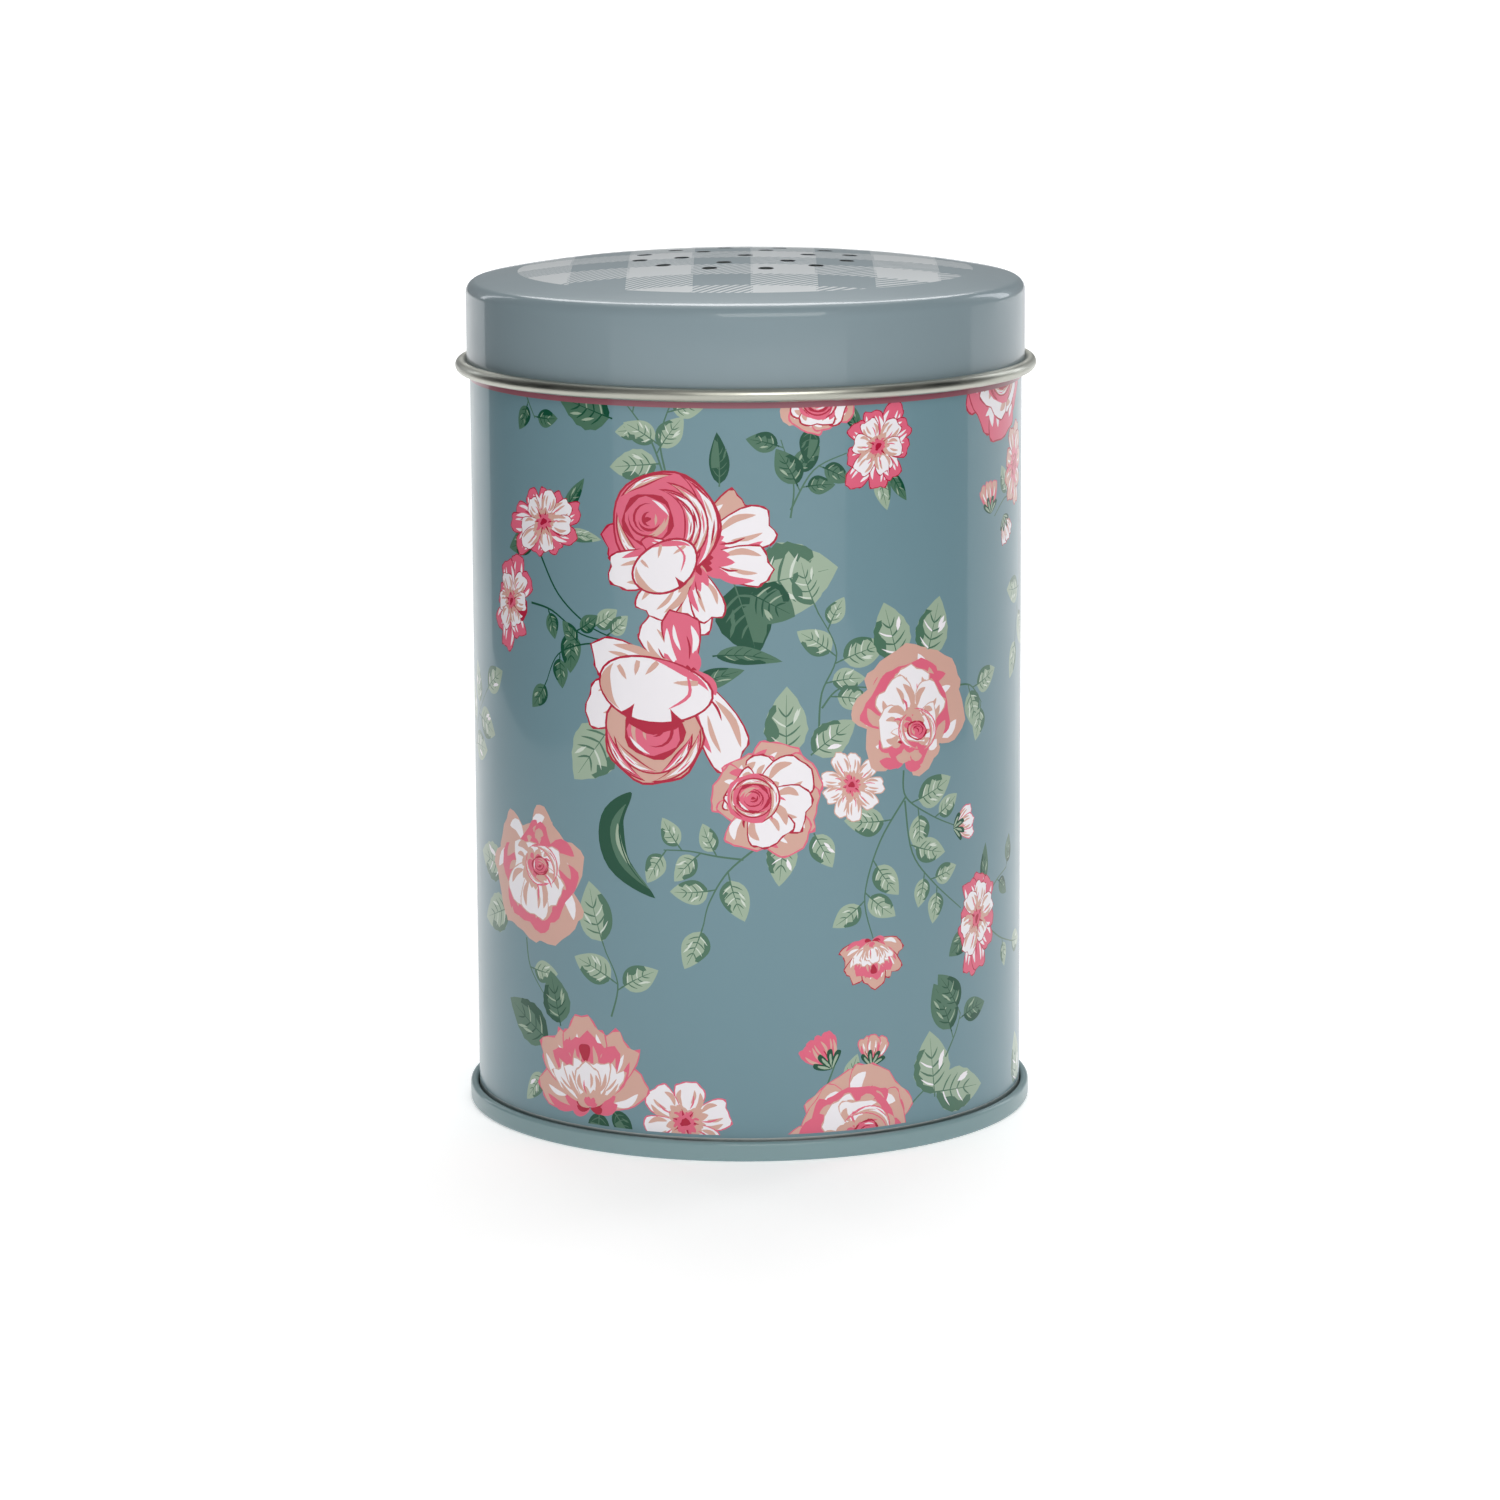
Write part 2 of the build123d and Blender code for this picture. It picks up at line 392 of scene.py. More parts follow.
def nodding_rose(pen, radius, seed):
    """A heavy rose that hangs its head: broad petals fold down over an open, facing heart."""
    chance = Random(seed)
    petals(pen, radius, chance, (
        (0.32, 0.3, 30, 0.86, 0.5, SNOW), (0.4, 0.3, 8, 0.86, 0.56, ROSY),
        (0.3, 0.3, 76, 1.22, 0.62, SNOW_WARM),
        (0.28, 0.28, 106, 1.34, 0.7, SNOW), (0.42, 0.42, -152, 1.28, 0.66, SNOW),
    ))
    bowl = pen.at(-0.08 * radius, -0.4 * radius)
    bowl.lay("crimson", blot(radius * 0.66, radius * 0.62, 0.03, 7, 0, 32))
    bowl.lay("blush", blot(radius * 0.63, radius * 0.59, 0.03, 7, 0, 32))
    for reach, start, end, thick, tone in (
            (0.63, 172, 262, 0.14, SNOW), (0.63, 268, 372, 0.16, SNOW_WARM),
            (0.52, 184, 286, 0.14, SNOW_WARM),
            (0.52, 278, 366, 0.14, SNOW)):
        wrap(bowl, radius * reach, start, end, radius * thick, tone, chance, 0.93)
    heart(bowl.at(0.02 * radius, 0.06 * radius), radius * 0.4, chance, 0.9, "crimson", "coral")
    bowl.at(0.02 * radius, 0.2 * radius).lay("crimson", blot(radius * 0.34, radius * 0.18, 0.08, 5, 2))
    folded(pen.at(-0.07 * radius, 0.17 * radius, radians(-6)), radius * 0.76, radius * 0.42, SNOW,
        chance, 0, 2)


def garden_rose(pen, radius, seed, outer=BLUSH_EDGED, inner=SNOW_WARM, hub=(-0.35, 0.0), core=0.3,
        squash=1.0):
    """A middling rose: two rings of petals and wraps round a small heart set to one side."""
    chance = Random(seed)
    ring(pen, radius, chance, 8, 1.0, 1.3, outer, hub, squash, chance.uniform(0, 45))
    ring(pen, radius, chance, 6, 0.78, 1.2, inner, hub, squash, chance.uniform(0, 60))
    middle = pen.at(hub[0] * radius, hub[1] * radius)
    middle.lay("coral", blot(radius * core * 1.6, radius * core * 1.5, 0.04, 5))
    for reach, start, end, thick, tone in (
            (1.6, -70, 80, 0.6, inner), (1.5, 110, 250, 0.5, outer), (1.3, 20, 160, 0.45, inner),
            (1.25, 200, 330, 0.4, inner)):
        wrap(middle, radius * core * reach, start, end, radius * core * thick, tone, chance, 0.95, 0.2)
    heart(middle, radius * core, chance)


def open_rose(pen, radius, seed, hub=(0.1, -0.1), core=0.2, petal_tone=BLUSH):
    """A loose rose: broad blush petals outside, white ones leaning in, and a small deep eye."""
    chance = Random(seed)
    ring(pen, radius, chance, 7, 1.0, 1.5, petal_tone, hub, 0.95, chance.uniform(0, 50), 0.15)
    ring(pen, radius, chance, 5, 0.74, 1.25, CORAL, hub, 0.95, chance.uniform(0, 70), 0.15)
    ring(pen, radius, chance, 6, 0.68, 1.05, PALE, hub, 0.9, chance.uniform(0, 60), 0.18)
    middle = pen.at((hub[0] + 0.12) * radius, (hub[1] - 0.05) * radius)
    for reach, start, end, thick in ((2.0, -60, 120, 0.7), (1.8, 140, 300, 0.6)):
        wrap(middle, radius * core * reach, start, end, radius * core * thick, PALE_EDGED, chance, 0.85,
            0.16)
    heart(middle, radius * core, chance, 0.75)


def daisy(pen, radius, seed, count=9, tone=PALE, squash=1.0, eye=0.2, width=0.95, line=0.2):
    """An open flower of narrow petals round a small eye."""
    chance = Random(seed)
    for k in range(count):
        a = 2 * pi * (k + chance.uniform(-0.16, 0.16)) / count
        length = radius * chance.uniform(0.84, 1.04)
        dx, dy = length * cos(a), length * squash * sin(a)
        painted_petal(pen.at(dx * 0.06, dy * 0.06, atan2(-dx, dy)), hypot(dx, dy) * 0.95,
                      2 * pi * radius / count * 0.82 * width, tone, chance, line, chance.uniform(-0.1, 0.1))
    for k in range(6):
        a = k * pi / 3 + chance.uniform(-0.3, 0.3)
        pen.at(0, 0, a).lay("crimson", brush([(0, 0), (0, radius * eye * 1.6)], radius * 0.09, 0.03, 0, 2))
    pen.lay("coral", blot(radius * eye, radius * eye * squash, 0.12, 5, 1, 14))
    pen.lay("crimson", blot(radius * eye * 0.6, radius * eye * 0.5 * squash, 0.2, 3, 2, 10))


def cup(pen, radius, seed, outer=BLUSH_EDGED, line=0.22):
    """A half-open flower seen from the side, opening up the sheet, with white petals in front."""
    chance = Random(seed)
    for angle, length, width in ((62, 1.5, 1.2), (-62, 1.5, 1.2), (35, 1.85, 1.15), (-35, 1.85, 1.15),
            (0, 1.95, 1.3)):
        painted_petal(pen.at(0, -radius * 0.85, radians(angle)), radius * length, radius * width, outer,
                      chance, line, 0, 0.06)
    for angle, length, width in ((28, 1.42, 0.85), (-28, 1.42, 0.85), (0, 1.5, 0.9)):
        painted_petal(pen.at(0, -radius * 0.75, radians(angle)), radius * length, radius * width, CORAL,
                      chance, line, 0, 0.05, 0.5)
    pen.at(0, radius * 0.12).lay("crimson", petal(radius * 0.42, radius * 0.34, 0.3))
    for angle, length, width in ((46, 1.2, 0.6), (-46, 1.2, 0.6), (22, 1.08, 0.7), (-22, 1.08, 0.7),
            (0, 0.92, 0.8)):
        painted_petal(pen.at(0, -radius * 0.85, radians(angle)), radius * length, radius * width, PALE,
                      chance, line, 0, 0.08)


def bud(pen, length, seed, tone=BLUSH_EDGED, sepals=True):
    """A closed bud pointing up the sheet on a short stalk."""
    chance = Random(seed)
    width = length * 0.62
    for angle in (24, -24, 0):
        painted_petal(pen.at(0, 0, radians(angle)), length * 0.92, width * 0.8, tone, chance, 0.16)
    if sepals:
        for angle in (52, 18, -20, -50):
            part = pen.at(0, -0.1, radians(angle))
            part.lay("forest", petal(length * 0.5, length * 0.17, 0.1, 0.1))
            part.lay("sage", petal(length * 0.38, length * 0.07, 0.1, 0.1, steps=10))


def leaf(pen, length, width, seed, style="sage", bend=0.0, teeth=0):
    """A leaf pointing up the sheet: a light body, a shaded side, fine ribs and a few lights."""
    chance = Random(seed)
    wave, phase = (0.045 if teeth else 0.02), chance.uniform(0, 6)

    def spine_at(t):
        return bend * length * t * t, length * t

    def half(t):
        return width / 2 * sin(pi * t ** 0.74) ** 0.86 * (1 + wave * sin(2 * pi * (teeth + 1.5) * t + phase))

    def rim(side, scale, low=0.0, high=1.0, steps=11):
        points = []
        for i in range(steps + 1):
            t = low + (high - low) * i / steps
            x, y = spine_at(t)
            points.append((x + side * half(t) * scale, y))
        return points

    body, shadow, rib, light = {
        "sage": ("sage", "fern", "fern", "mist"),
        "deep": ("fern", "forest", "forest", "sage"),
        "dark": ("forest", "forest", "fern", "fern"),
        "mist": ("sage", "fern", "fern", "white"),
    }[style]
    side = chance.choice((-1, 1))
    pen.lay(body, rim(1, 1.0) + rim(-1, 1.0)[-2:0:-1])
    if shadow != body:
        ragged = []
        for i in range(9):
            t = 0.72 * (1 - i / 8)
            x, y = spine_at(t + 0.02)
            ragged.append((x + side * half(t) * (chance.uniform(0.3, 0.78) if i < 7 else 0.1), y))
        pen.lay(shadow, rim(side, 1.0, 0.02, 0.74) + ragged)
    else:
        pen.lay(light, rim(side, 0.8, 0.3, 0.86) + [spine_at(0.8), spine_at(0.55), spine_at(0.32)])
    ribs = 4 if length > 5 else 3
    for k in range(ribs):
        low = 0.14 + 0.56 * k / ribs
        for hand in (side, -side):
            foot = spine_at(low)
            reach = half(low + 0.16) * (0.72 if k < ribs - 1 else 0.55)
            tip = (foot[0] + hand * reach, foot[1] + length * 0.15)
            pen.lay(rib if k % 2 or shadow == body else light if hand == side else rib,
                    brush([foot, ((foot[0] + tip[0]) / 2, (foot[1] + tip[1]) / 2 - 0.02 * length), tip],
                          width * 0.025, 0.02, width * 0.028, 3))
    for k in range(2 if length > 4 else 1):
        low = chance.uniform(0.25, 0.5)
        foot = spine_at(low)
        pen.lay(light, brush([(foot[0] - side * half(low) * 0.35, foot[1]),
                              (foot[0] - side * half(low) * (0.6 + 0.12 * k), foot[1] + length * 0.22)],
                             0.03, 0.02, width * (0.12 if style == "mist" else 0.07), 3))
    pen.lay(rib, brush([(0, -0.05 * length), spine_at(0.1), spine_at(0.5), spine_at(0.88)], 0.24, 0.03,
        0.0, 3))


def stem(pen, points, width=0.3, ink="fern"):
    """A stroke that thins towards its tip."""
    pen.lay(ink, brush(points, width, width * 0.55, 0, 6))


def sprig(pen, points, leaves, seed, style="sage", width=0.28, ink="fern"):
    """A thin stem with leaves set along it: each at a share of its length, on a side, of a size."""
    stem(pen, points, width, ink)
    path = smooth_path(points, 12)
    for number, (share, side, size) in enumerate(leaves):
        i = min(int(share * (len(path) - 1)), len(path) - 2)
        (ax, ay), (bx, by) = path[i], path[i + 1]
        along = atan2(-(bx - ax), by - ay)
        part = pen.at(ax, ay, along - side * radians(52 if share < 0.97 else 4))
        stalk = size * 0.22
        part.lay(ink, brush([(0, 0), (0, stalk)], width * 0.7, width * 0.6, 0, 2))
        leaf(part.at(0, stalk), size * 1.14, size * 0.76, seed + number, style, side * 0.12)


# ---------------------------------------------------------------- the arrangement of the print

def roses(pen):
    """The roses and the larger cup, each at its place on the sheet."""
    cabbage_rose(pen.at(-8.6, 80.0), 9.6, 3)
    nodding_rose(pen.at(-11.6, 59.6), 10.4, 4)
    garden_rose(pen.at(3.2, 47.6), 7.2, 5)
    open_rose(pen.at(22.6, 58.4, radians(-20)), 8.4, 9, (0.1, -0.3), 0.2)
    open_rose(pen.at(-32.0, 34.0, radians(10)), 8.6, 6, (0.1, 0.3), 0.2)
    cup(pen.at(-22.6, 10.6, radians(6)), 6.0, 3)
    garden_rose(pen.at(9.2, 99.6), 5.6, 12, BLUSH_EDGED, SNOW, (0.0, -0.2), 0.3)
    garden_rose(pen.at(41.0, 101.0), 9.6, 13, ROSY, SNOW_WARM, (0.1, -0.1), 0.32)
    open_rose(pen.at(14.0, 2.6, radians(30)), 8.6, 11, (0.05, 0.0), 0.22, BLUSH_EDGED)


def small_flowers(pen):
    """The daisies and buds, each at its place on the sheet."""
    daisy(pen.at(-29.4, 81.6, 0.2), 7.0, 2, 10, ROSY, 0.66, 0.16, 0.86, 0.14)
    daisy(pen.at(-29.0, 81.8, 0.5), 5.6, 102, 7, SNOW_WARM, 0.66, 0.2, 0.7, 0.12)
    daisy(pen.at(-36.0, 70.4, 1.3), 6.4, 8, 8, ROSY, 0.62, 0.16, 0.86, 0.14)
    daisy(pen.at(-36.2, 70.6, 1.0), 4.8, 108, 6, SNOW_WARM, 0.66, 0.2, 0.7, 0.12)
    daisy(pen.at(13.6, 48.8), 4.6, 1, 9, PALE, 1.0, 0.17, 0.95, 0.16)
    daisy(pen.at(17.6, 92.0, 1.2), 6.4, 14, 9, ROSY, 0.74, 0.16, 0.86, 0.14)
    daisy(pen.at(17.4, 92.2, 0.9), 4.8, 114, 6, SNOW_WARM, 0.76, 0.2, 0.7, 0.12)
    daisy(pen.at(35.2, 28.2, 1.45), 7.4, 15, 9, ROSY, 0.58, 0.16, 0.86, 0.14)
    daisy(pen.at(35.0, 28.4, 1.2), 5.6, 115, 6, SNOW_WARM, 0.6, 0.2, 0.7, 0.12)
    daisy(pen.at(-8.4, 4.8, 0.3), 6.4, 16, 6, PALE_EDGED, 0.9, 0.18, 0.85)
    daisy(pen.at(47.0, 87.0, 1.4), 5.6, 17, 9, ROSY_WARM, 0.7, 0.18)
    cup(pen.at(16.6, 25.4, radians(184)), 3.1, 18, ROSY_WARM, 0.16)
    bud(pen.at(38.4, 81.6, radians(10)), 4.6, 19)
    bud(pen.at(42.4, 80.6, radians(-150)), 4.2, 20, SNOW_WARM)
    bud(pen.at(10.8, 11.8, radians(32)), 5.2, 21, CORAL)
    bud(pen.at(16.4, 11.6, radians(-6)), 4.4, 22, BLUSH_EDGED)
    bud(pen.at(30.0, 41.2, radians(-80)), 4.6, 23, PALE_EDGED)


def leaves_behind(pen):
    """Leaves and sprigs, laid before the flowers."""
    # By the two large roses
    leaf(pen.at(1.0, 75.0, radians(-78)), 11.0, 9.4, 31, "sage", 0.02, 5)
    leaf(pen.at(-1.5, 75.0, radians(-160)), 9.4, 7.6, 32, "dark", 0.05, 4)
    leaf(pen.at(0.5, 74.0, radians(-118)), 6.4, 5.6, 33, "deep", 0.0, 4)
    leaf(pen.at(-3.4, 88.0, radians(-2)), 6.6, 2.6, 34, "dark", -0.08)
    leaf(pen.at(-18.4, 56.0, radians(142)), 9.2, 7.2, 35, "sage", 0.0, 5)
    pen.lay("forest", brush([(-15.4, 47.8), (-18.2, 44.0), (-17.4, 38.6), (-12.2, 34.2)], 0.3, 0.05, 3.7, 6))
    pen.lay("fern", brush([(-16.2, 46.2), (-17.8, 43.0), (-16.6, 38.8), (-13.0, 35.4)], 0.1, 0.05, 1.5, 5))
    pen.lay("sage", brush([(-17.4, 43.6), (-17.2, 41.0), (-15.6, 38.0)], 0.1, 0.05, 0.7, 5))
    pen.lay("forest", brush([(-16.2, 46.0), (-17.2, 42.6), (-16.0, 38.6), (-13.4, 35.6)], 0.16, 0.05,
        0.1, 5))
    leaf(pen.at(-7.0, 62.0, radians(-66)), 7.0, 2.6, 37, "deep", 0.1)
    leaf(pen.at(-4.0, 66.0, radians(-84)), 8.4, 2.4, 38, "deep", 0.2)
    # Top left
    leaf(pen.at(-18.0, 96.0, radians(74)), 8.4, 5.4, 39, "deep", 0.0, 4)
    sprig(pen, [(-10.6, 89.0), (-12.6, 94.0), (-16.6, 99.0)],
        [(0.3, 1, 4.4), (0.55, -1, 3.2), (0.75, 1, 4.0)], 40)
    sprig(pen, [(-10.4, 89.6), (-11.0, 94.0), (-9.0, 99.5)], [(0.4, -1, 4.2), (0.75, 1, 3.6)], 41)
    leaf(pen.at(-11.5, 90.4, radians(96)), 6.6, 4.2, 42, "sage", 0.0, 4)
    sprig(pen, [(-33.0, 100.0), (-32.0, 97.6), (-30.4, 95.0)], [(0.6, 1, 3.2), (0.95, -1, 3.2)], 43, "deep")
    # Round the aster at the upper left
    leaf(pen.at(-31.0, 79.6, radians(116)), 5.8, 3.4, 44, "deep", 0.1)
    leaf(pen.at(-25.4, 83.6, radians(-44)), 5.6, 1.9, 45, "deep", -0.1)
    leaf(pen.at(-24.8, 80.6, radians(-88)), 5.4, 1.8, 46, "sage", 0.1)
    sprig(pen, [(-29.6, 77.4), (-26.4, 72.6), (-21.4, 69.0), (-16.6, 67.4)],
        [(0.7, -1, 3.4), (0.86, -1, 3.0)], 47, "sage", 0.3, "forest")
    sprig(pen, [(-31.6, 71.0), (-27.6, 70.4), (-22.6, 67.8), (-17.4, 67.2)],
        [(0.3, 1, 3.0), (0.55, 1, 4.6), (0.62, -1, 3.0)], 48, "deep", 0.3, "forest")
    sprig(pen, [(-17.0, 66.8), (-22.0, 66.6), (-26.6, 64.8), (-28.8, 61.0)],
        [(0.4, 1, 3.0), (0.66, -1, 3.4), (0.98, 1, 3.6)], 49, "deep", 0.26, "forest")
    # Between the large roses and the open rose
    sprig(pen, [(9.2, 56.4), (9.6, 61.0), (11.6, 66.0), (9.0, 71.6)],
          [(0.42, 1, 4.0), (0.6, 1, 5.4), (0.66, -1, 4.6), (0.84, 1, 3.4), (0.98, 1, 5.6)], 50)
    sprig(pen, [(9.6, 59.0), (12.0, 61.4), (16.6, 61.2)], [(0.3, 1, 4.2)], 51)
    leaf(pen.at(5.0, 53.0, radians(2)), 9.0, 5.6, 52, "sage", 0.04, 5)
    leaf(pen.at(8.4, 53.2, radians(-52)), 7.0, 4.6, 53, "mist", 0.06, 4)
    # By the open rose
    leaf(pen.at(20.4, 64.4, radians(16)), 8.0, 5.6, 54, "mist", 0.0, 4)
    leaf(pen.at(25.0, 64.4, radians(-16)), 8.0, 5.6, 55, "mist", 0.0, 4)
    sprig(pen, [(30.0, 60.0), (33.4, 59.6), (36.0, 57.0)],
        [(0.45, 1, 4.6), (0.6, -1, 4.4), (0.96, 1, 3.8)], 56)
    sprig(pen, [(21.2, 50.0), (21.6, 46.4), (26.0, 43.4), (30.6, 41.4)],
        [(0.42, -1, 5.4), (0.5, 1, 4.4), (0.7, -1, 3.6)], 57)
    sprig(pen, [(21.6, 46.6), (17.6, 41.0), (15.4, 34.0), (16.6, 28.4)],
          [(0.2, 1, 5.0), (0.45, -1, 4.6), (0.66, -1, 4.2), (0.7, 1, 4.0)], 58)
    sprig(pen, [(21.4, 46.0), (22.6, 39.0), (26.4, 34.4), (31.4, 30.4)],
          [(0.3, -1, 4.6), (0.55, 1, 3.4), (0.62, -1, 3.6), (0.7, 1, 3.6)], 59)
    leaf(pen.at(33.0, 27.0, radians(124)), 4.8, 3.2, 60, "deep")
    leaf(pen.at(36.6, 32.6, radians(-6)), 5.6, 2.0, 61, "deep")
    sprig(pen, [(38.0, 31.0), (40.6, 32.6), (44.0, 33.6)], [(0.5, 1, 3.0), (0.96, -1, 3.4)], 62, "deep")
    sprig(pen, [(38.0, 26.6), (41.6, 24.6), (46.0, 23.2)], [(0.6, 1, 3.0), (0.98, -1, 4.0)], 63)
    # Below the middle rose
    leaf(pen.at(4.6, 42.4, radians(174)), 6.4, 4.0, 64, "mist", 0.0, 4)
    leaf(pen.at(8.6, 42.6, radians(-152)), 5.0, 3.4, 65, "mist")
    sprig(pen, [(1.4, 41.4), (-2.6, 38.0), (-5.0, 34.0), (-5.8, 31.0)],
          [(0.36, -1, 5.0), (0.55, 1, 4.4), (0.98, 1, 4.8)], 66)
    sprig(pen, [(-0.6, 39.6), (-4.0, 40.0), (-7.6, 40.6), (-11.0, 40.6)],
          [(0.35, 1, 3.4), (0.55, -1, 3.8), (0.75, 1, 3.6), (0.96, -1, 3.8)], 67)
    # Round the peony
    leaf(pen.at(-39.4, 34.6, radians(84)), 8.4, 5.2, 68, "mist", 0.0, 4)
    leaf(pen.at(-38.0, 29.6, radians(112)), 8.4, 5.2, 69, "sage", 0.05, 4)
    sprig(pen, [(-33.6, 26.4), (-32.8, 22.6), (-29.6, 19.0)], [(0.5, -1, 4.0)], 70)
    # Between the peony and the half-open flower
    sprig(pen, [(-18.6, 18.0), (-17.6, 22.4), (-19.4, 26.6)],
        [(0.45, 1, 4.8), (0.5, -1, 5.4), (0.98, 1, 7.0)], 71, "sage")
    leaf(pen.at(-27.0, 16.0, radians(14)), 7.0, 5.0, 72, "deep", 0.0, 4)
    leaf(pen.at(-29.4, 13.4, radians(64)), 9.4, 5.6, 73, "deep", 0.0, 5)
    leaf(pen.at(-30.4, 8.6, radians(138)), 5.4, 2.8, 74, "mist")
    leaf(pen.at(-20.6, 5.0, radians(176)), 5.0, 3.4, 75, "dark")
    leaf(pen.at(-18.4, 5.4, radians(-140)), 4.4, 2.6, 76, "dark")
    # Lower right
    sprig(pen, [(20.6, 4.0), (23.4, 6.4), (26.0, 8.0)], [(0.9, -1, 3.0)], 77)
    leaf(pen.at(26.4, 6.4, radians(6)), 8.6, 6.4, 78, "mist", 0.0, 5)
    leaf(pen.at(26.6, 6.6, radians(-94)), 9.6, 6.0, 79, "mist", 0.0, 5)
    sprig(pen, [(28.4, 11.0), (30.4, 14.0), (31.4, 16.4)],
        [(0.4, -1, 6.4), (0.96, -1, 5.4), (0.8, 1, 4.4)], 80, "deep")
    stem(pen, [(9.8, 8.6), (10.6, 10.6), (11.4, 12.6)])
    stem(pen, [(15.4, 8.6), (16.0, 11.8)])
    leaf(pen.at(13.0, 9.6, radians(-20)), 4.0, 2.2, 81)
    # Upper right
    sprig(pen, [(5.6, 83.6), (6.0, 88.0), (4.4, 93.6)], [(0.6, 1, 3.8), (0.9, -1, 3.6)], 82, "deep", 0.26)
    sprig(pen, [(5.6, 84.6), (8.6, 89.6), (13.0, 91.6)], [(0.25, -1, 4.6), (0.3, 1, 3.2), (0.6, 1, 3.4)],
        83, "deep", 0.26)
    leaf(pen.at(8.4, 95.0, radians(170)), 4.6, 2.6, 84, "dark")
    leaf(pen.at(14.6, 94.6, radians(28)), 4.4, 2.0, 85, "deep")
    leaf(pen.at(17.6, 88.4, radians(-166)), 4.6, 2.4, 86, "sage")
    leaf(pen.at(19.2, 88.6, radians(-146)), 4.4, 1.8, 87, "deep")
    sprig(pen, [(46.4, 82.4), (43.0, 83.0), (39.4, 81.0)], [(0.4, 1, 3.6)], 88)
    sprig(pen, [(52.0, 72.0), (49.6, 68.6), (48.0, 64.0)],
        [(0.3, 1, 5.0), (0.6, -1, 5.4), (0.98, 1, 4.6)], 89)
    # Left edge
    sprig(pen, [(-52.4, 48.4), (-49.4, 53.0), (-44.4, 57.6)],
          [(0.16, 1, 5.4), (0.34, -1, 5.0), (0.6, 1, 5.4), (0.66, -1, 5.0), (0.98, 1, 5.0)], 90, "mist")
    leaf(pen.at(50.0, 2.4, radians(10)), 8.0, 5.6, 91, "mist", 0.0, 5)


# ------------------------------------------------------------------ sheet metal

def follow(x, z, heading, moves, offset):
    """Points at a distance to the left of a section's middle line, made of runs and turns.

    A move is (0, length) for a run or (radius, degrees) for a turn, left if positive."""
    heading = radians(heading)
    points = [(x - offset * sin(heading), z + offset * cos(heading))]
    for radius, amount in moves:
        if radius == 0:
            x, z = x + amount * cos(heading), z + amount * sin(heading)
            points.append((x - offset * sin(heading), z + offset * cos(heading)))
            continue
        hand = 1 if amount > 0 else -1
        centre_x, centre_z = x - hand * radius * sin(heading), z + hand * radius * cos(heading)
        steps = max(2, round(abs(amount) / 12))
        reach = radius - hand * offset
        for i in range(1, steps + 1):
            a = heading + radians(amount) * i / steps
            points.append((centre_x + hand * reach * sin(a), centre_z - hand * reach * cos(a)))
        heading += radians(amount)
        x, z = centre_x + hand * radius * sin(heading), centre_z - hand * radius * cos(heading)
    return points


class Shell:
    """Gathers the points and the inked faces of one piece, in millimetres."""

    def __init__(self):
        self.points, self.faces, self.inks = [], [], []

    def add(self, points, faces, ink):
        """Adds faces to the piece, with one ink for all of them or a list of inks."""
        first = len(self.points)
        self.points += points
        self.faces += [[first + i for i in face] for face in faces]
        self.inks += [ink] * len(faces) if isinstance(ink, int) else ink

    def lathe(self, line, inks, angles, closed=True):
        """Revolves a line of (distance from the axis, height) points; inks has one for each step."""
        points = [(r * sin(a), -r * cos(a), z) for a in angles for r, z in line]
        rows, turns = len(line), len(angles)
        faces, face_inks = [], []
        for j in range(turns if closed else turns - 1):
            here, there = j * rows, (j + 1) % turns * rows
            for i in range(rows - 1):
                faces.append((here + i, here + i + 1, there + i + 1, there + i))
                face_inks.append(inks[i])
        self.add(points, faces, face_inks)

    def build(self, name, materials, normal_of=None):
        """A closed, smooth-shaded object; normal_of gives the true normal where the surface is known."""
        mesh = bpy.data.meshes.new(name)
        mesh.from_pydata([[c * MM for c in p] for p in self.points], [], self.faces)
        mesh.polygons.foreach_set("material_index", self.inks)
        for material in materials:
            mesh.materials.append(material)
        work = bmesh.new()
        work.from_mesh(mesh)
        bmesh.ops.remove_doubles(work, verts=work.verts, dist=0.002 * MM)
        bmesh.ops.dissolve_degenerate(work, edges=work.edges, dist=0.001 * MM)
        bmesh.ops.recalc_face_normals(work, faces=work.faces)
        open_edges = sum(1 for edge in work.edges if len(edge.link_faces) != 2)
        work.to_mesh(mesh)
        work.free()
        if open_edges:
            print(name, "has", open_edges, "edges that don't join two faces")
        mesh.polygons.foreach_set("use_smooth", [True] * len(mesh.polygons))
        mesh.set_sharp_from_angle(angle=radians(40))
        if normal_of:
            mesh.update()
            corner_normals = [corner.vector.copy() for corner in mesh.corner_normals]
            for polygon in mesh.polygons:
                for corner in polygon.loop_indices:
                    point = mesh.vertices[mesh.loops[corner].vertex_index].co / MM
                    known = normal_of(point, polygon.normal)
                    if known:
                        corner_normals[corner] = known
            mesh.normals_split_custom_set(corner_normals)
        piece = bpy.data.objects.new(name, mesh)
        bpy.context.scene.collection.objects.link(piece)
        return piece


# ------------------------------------------------------------------ flat print to faces

def clip(outline, low_x, low_y, high_x, high_y):
    """The part of an outline inside a rectangle."""
    for axis, limit, hand in ((0, low_x, 1), (0, high_x, -1), (1, low_y, 1), (1, high_y, -1)):
        kept = []
        for a, b in zip(outline, outline[1:] + outline[:1]):
            inside_a, inside_b = (a[axis] - limit) * hand >= 0, (b[axis] - limit) * hand >= 0
            if inside_a != inside_b:
                t = (limit - a[axis]) / (b[axis] - a[axis])
                kept.append((a[0] + (b[0] - a[0]) * t, a[1] + (b[1] - a[1]) * t))
            if inside_b:
                kept.append(b)
        outline = kept
        if len(outline) < 3:
            return []
    return outline


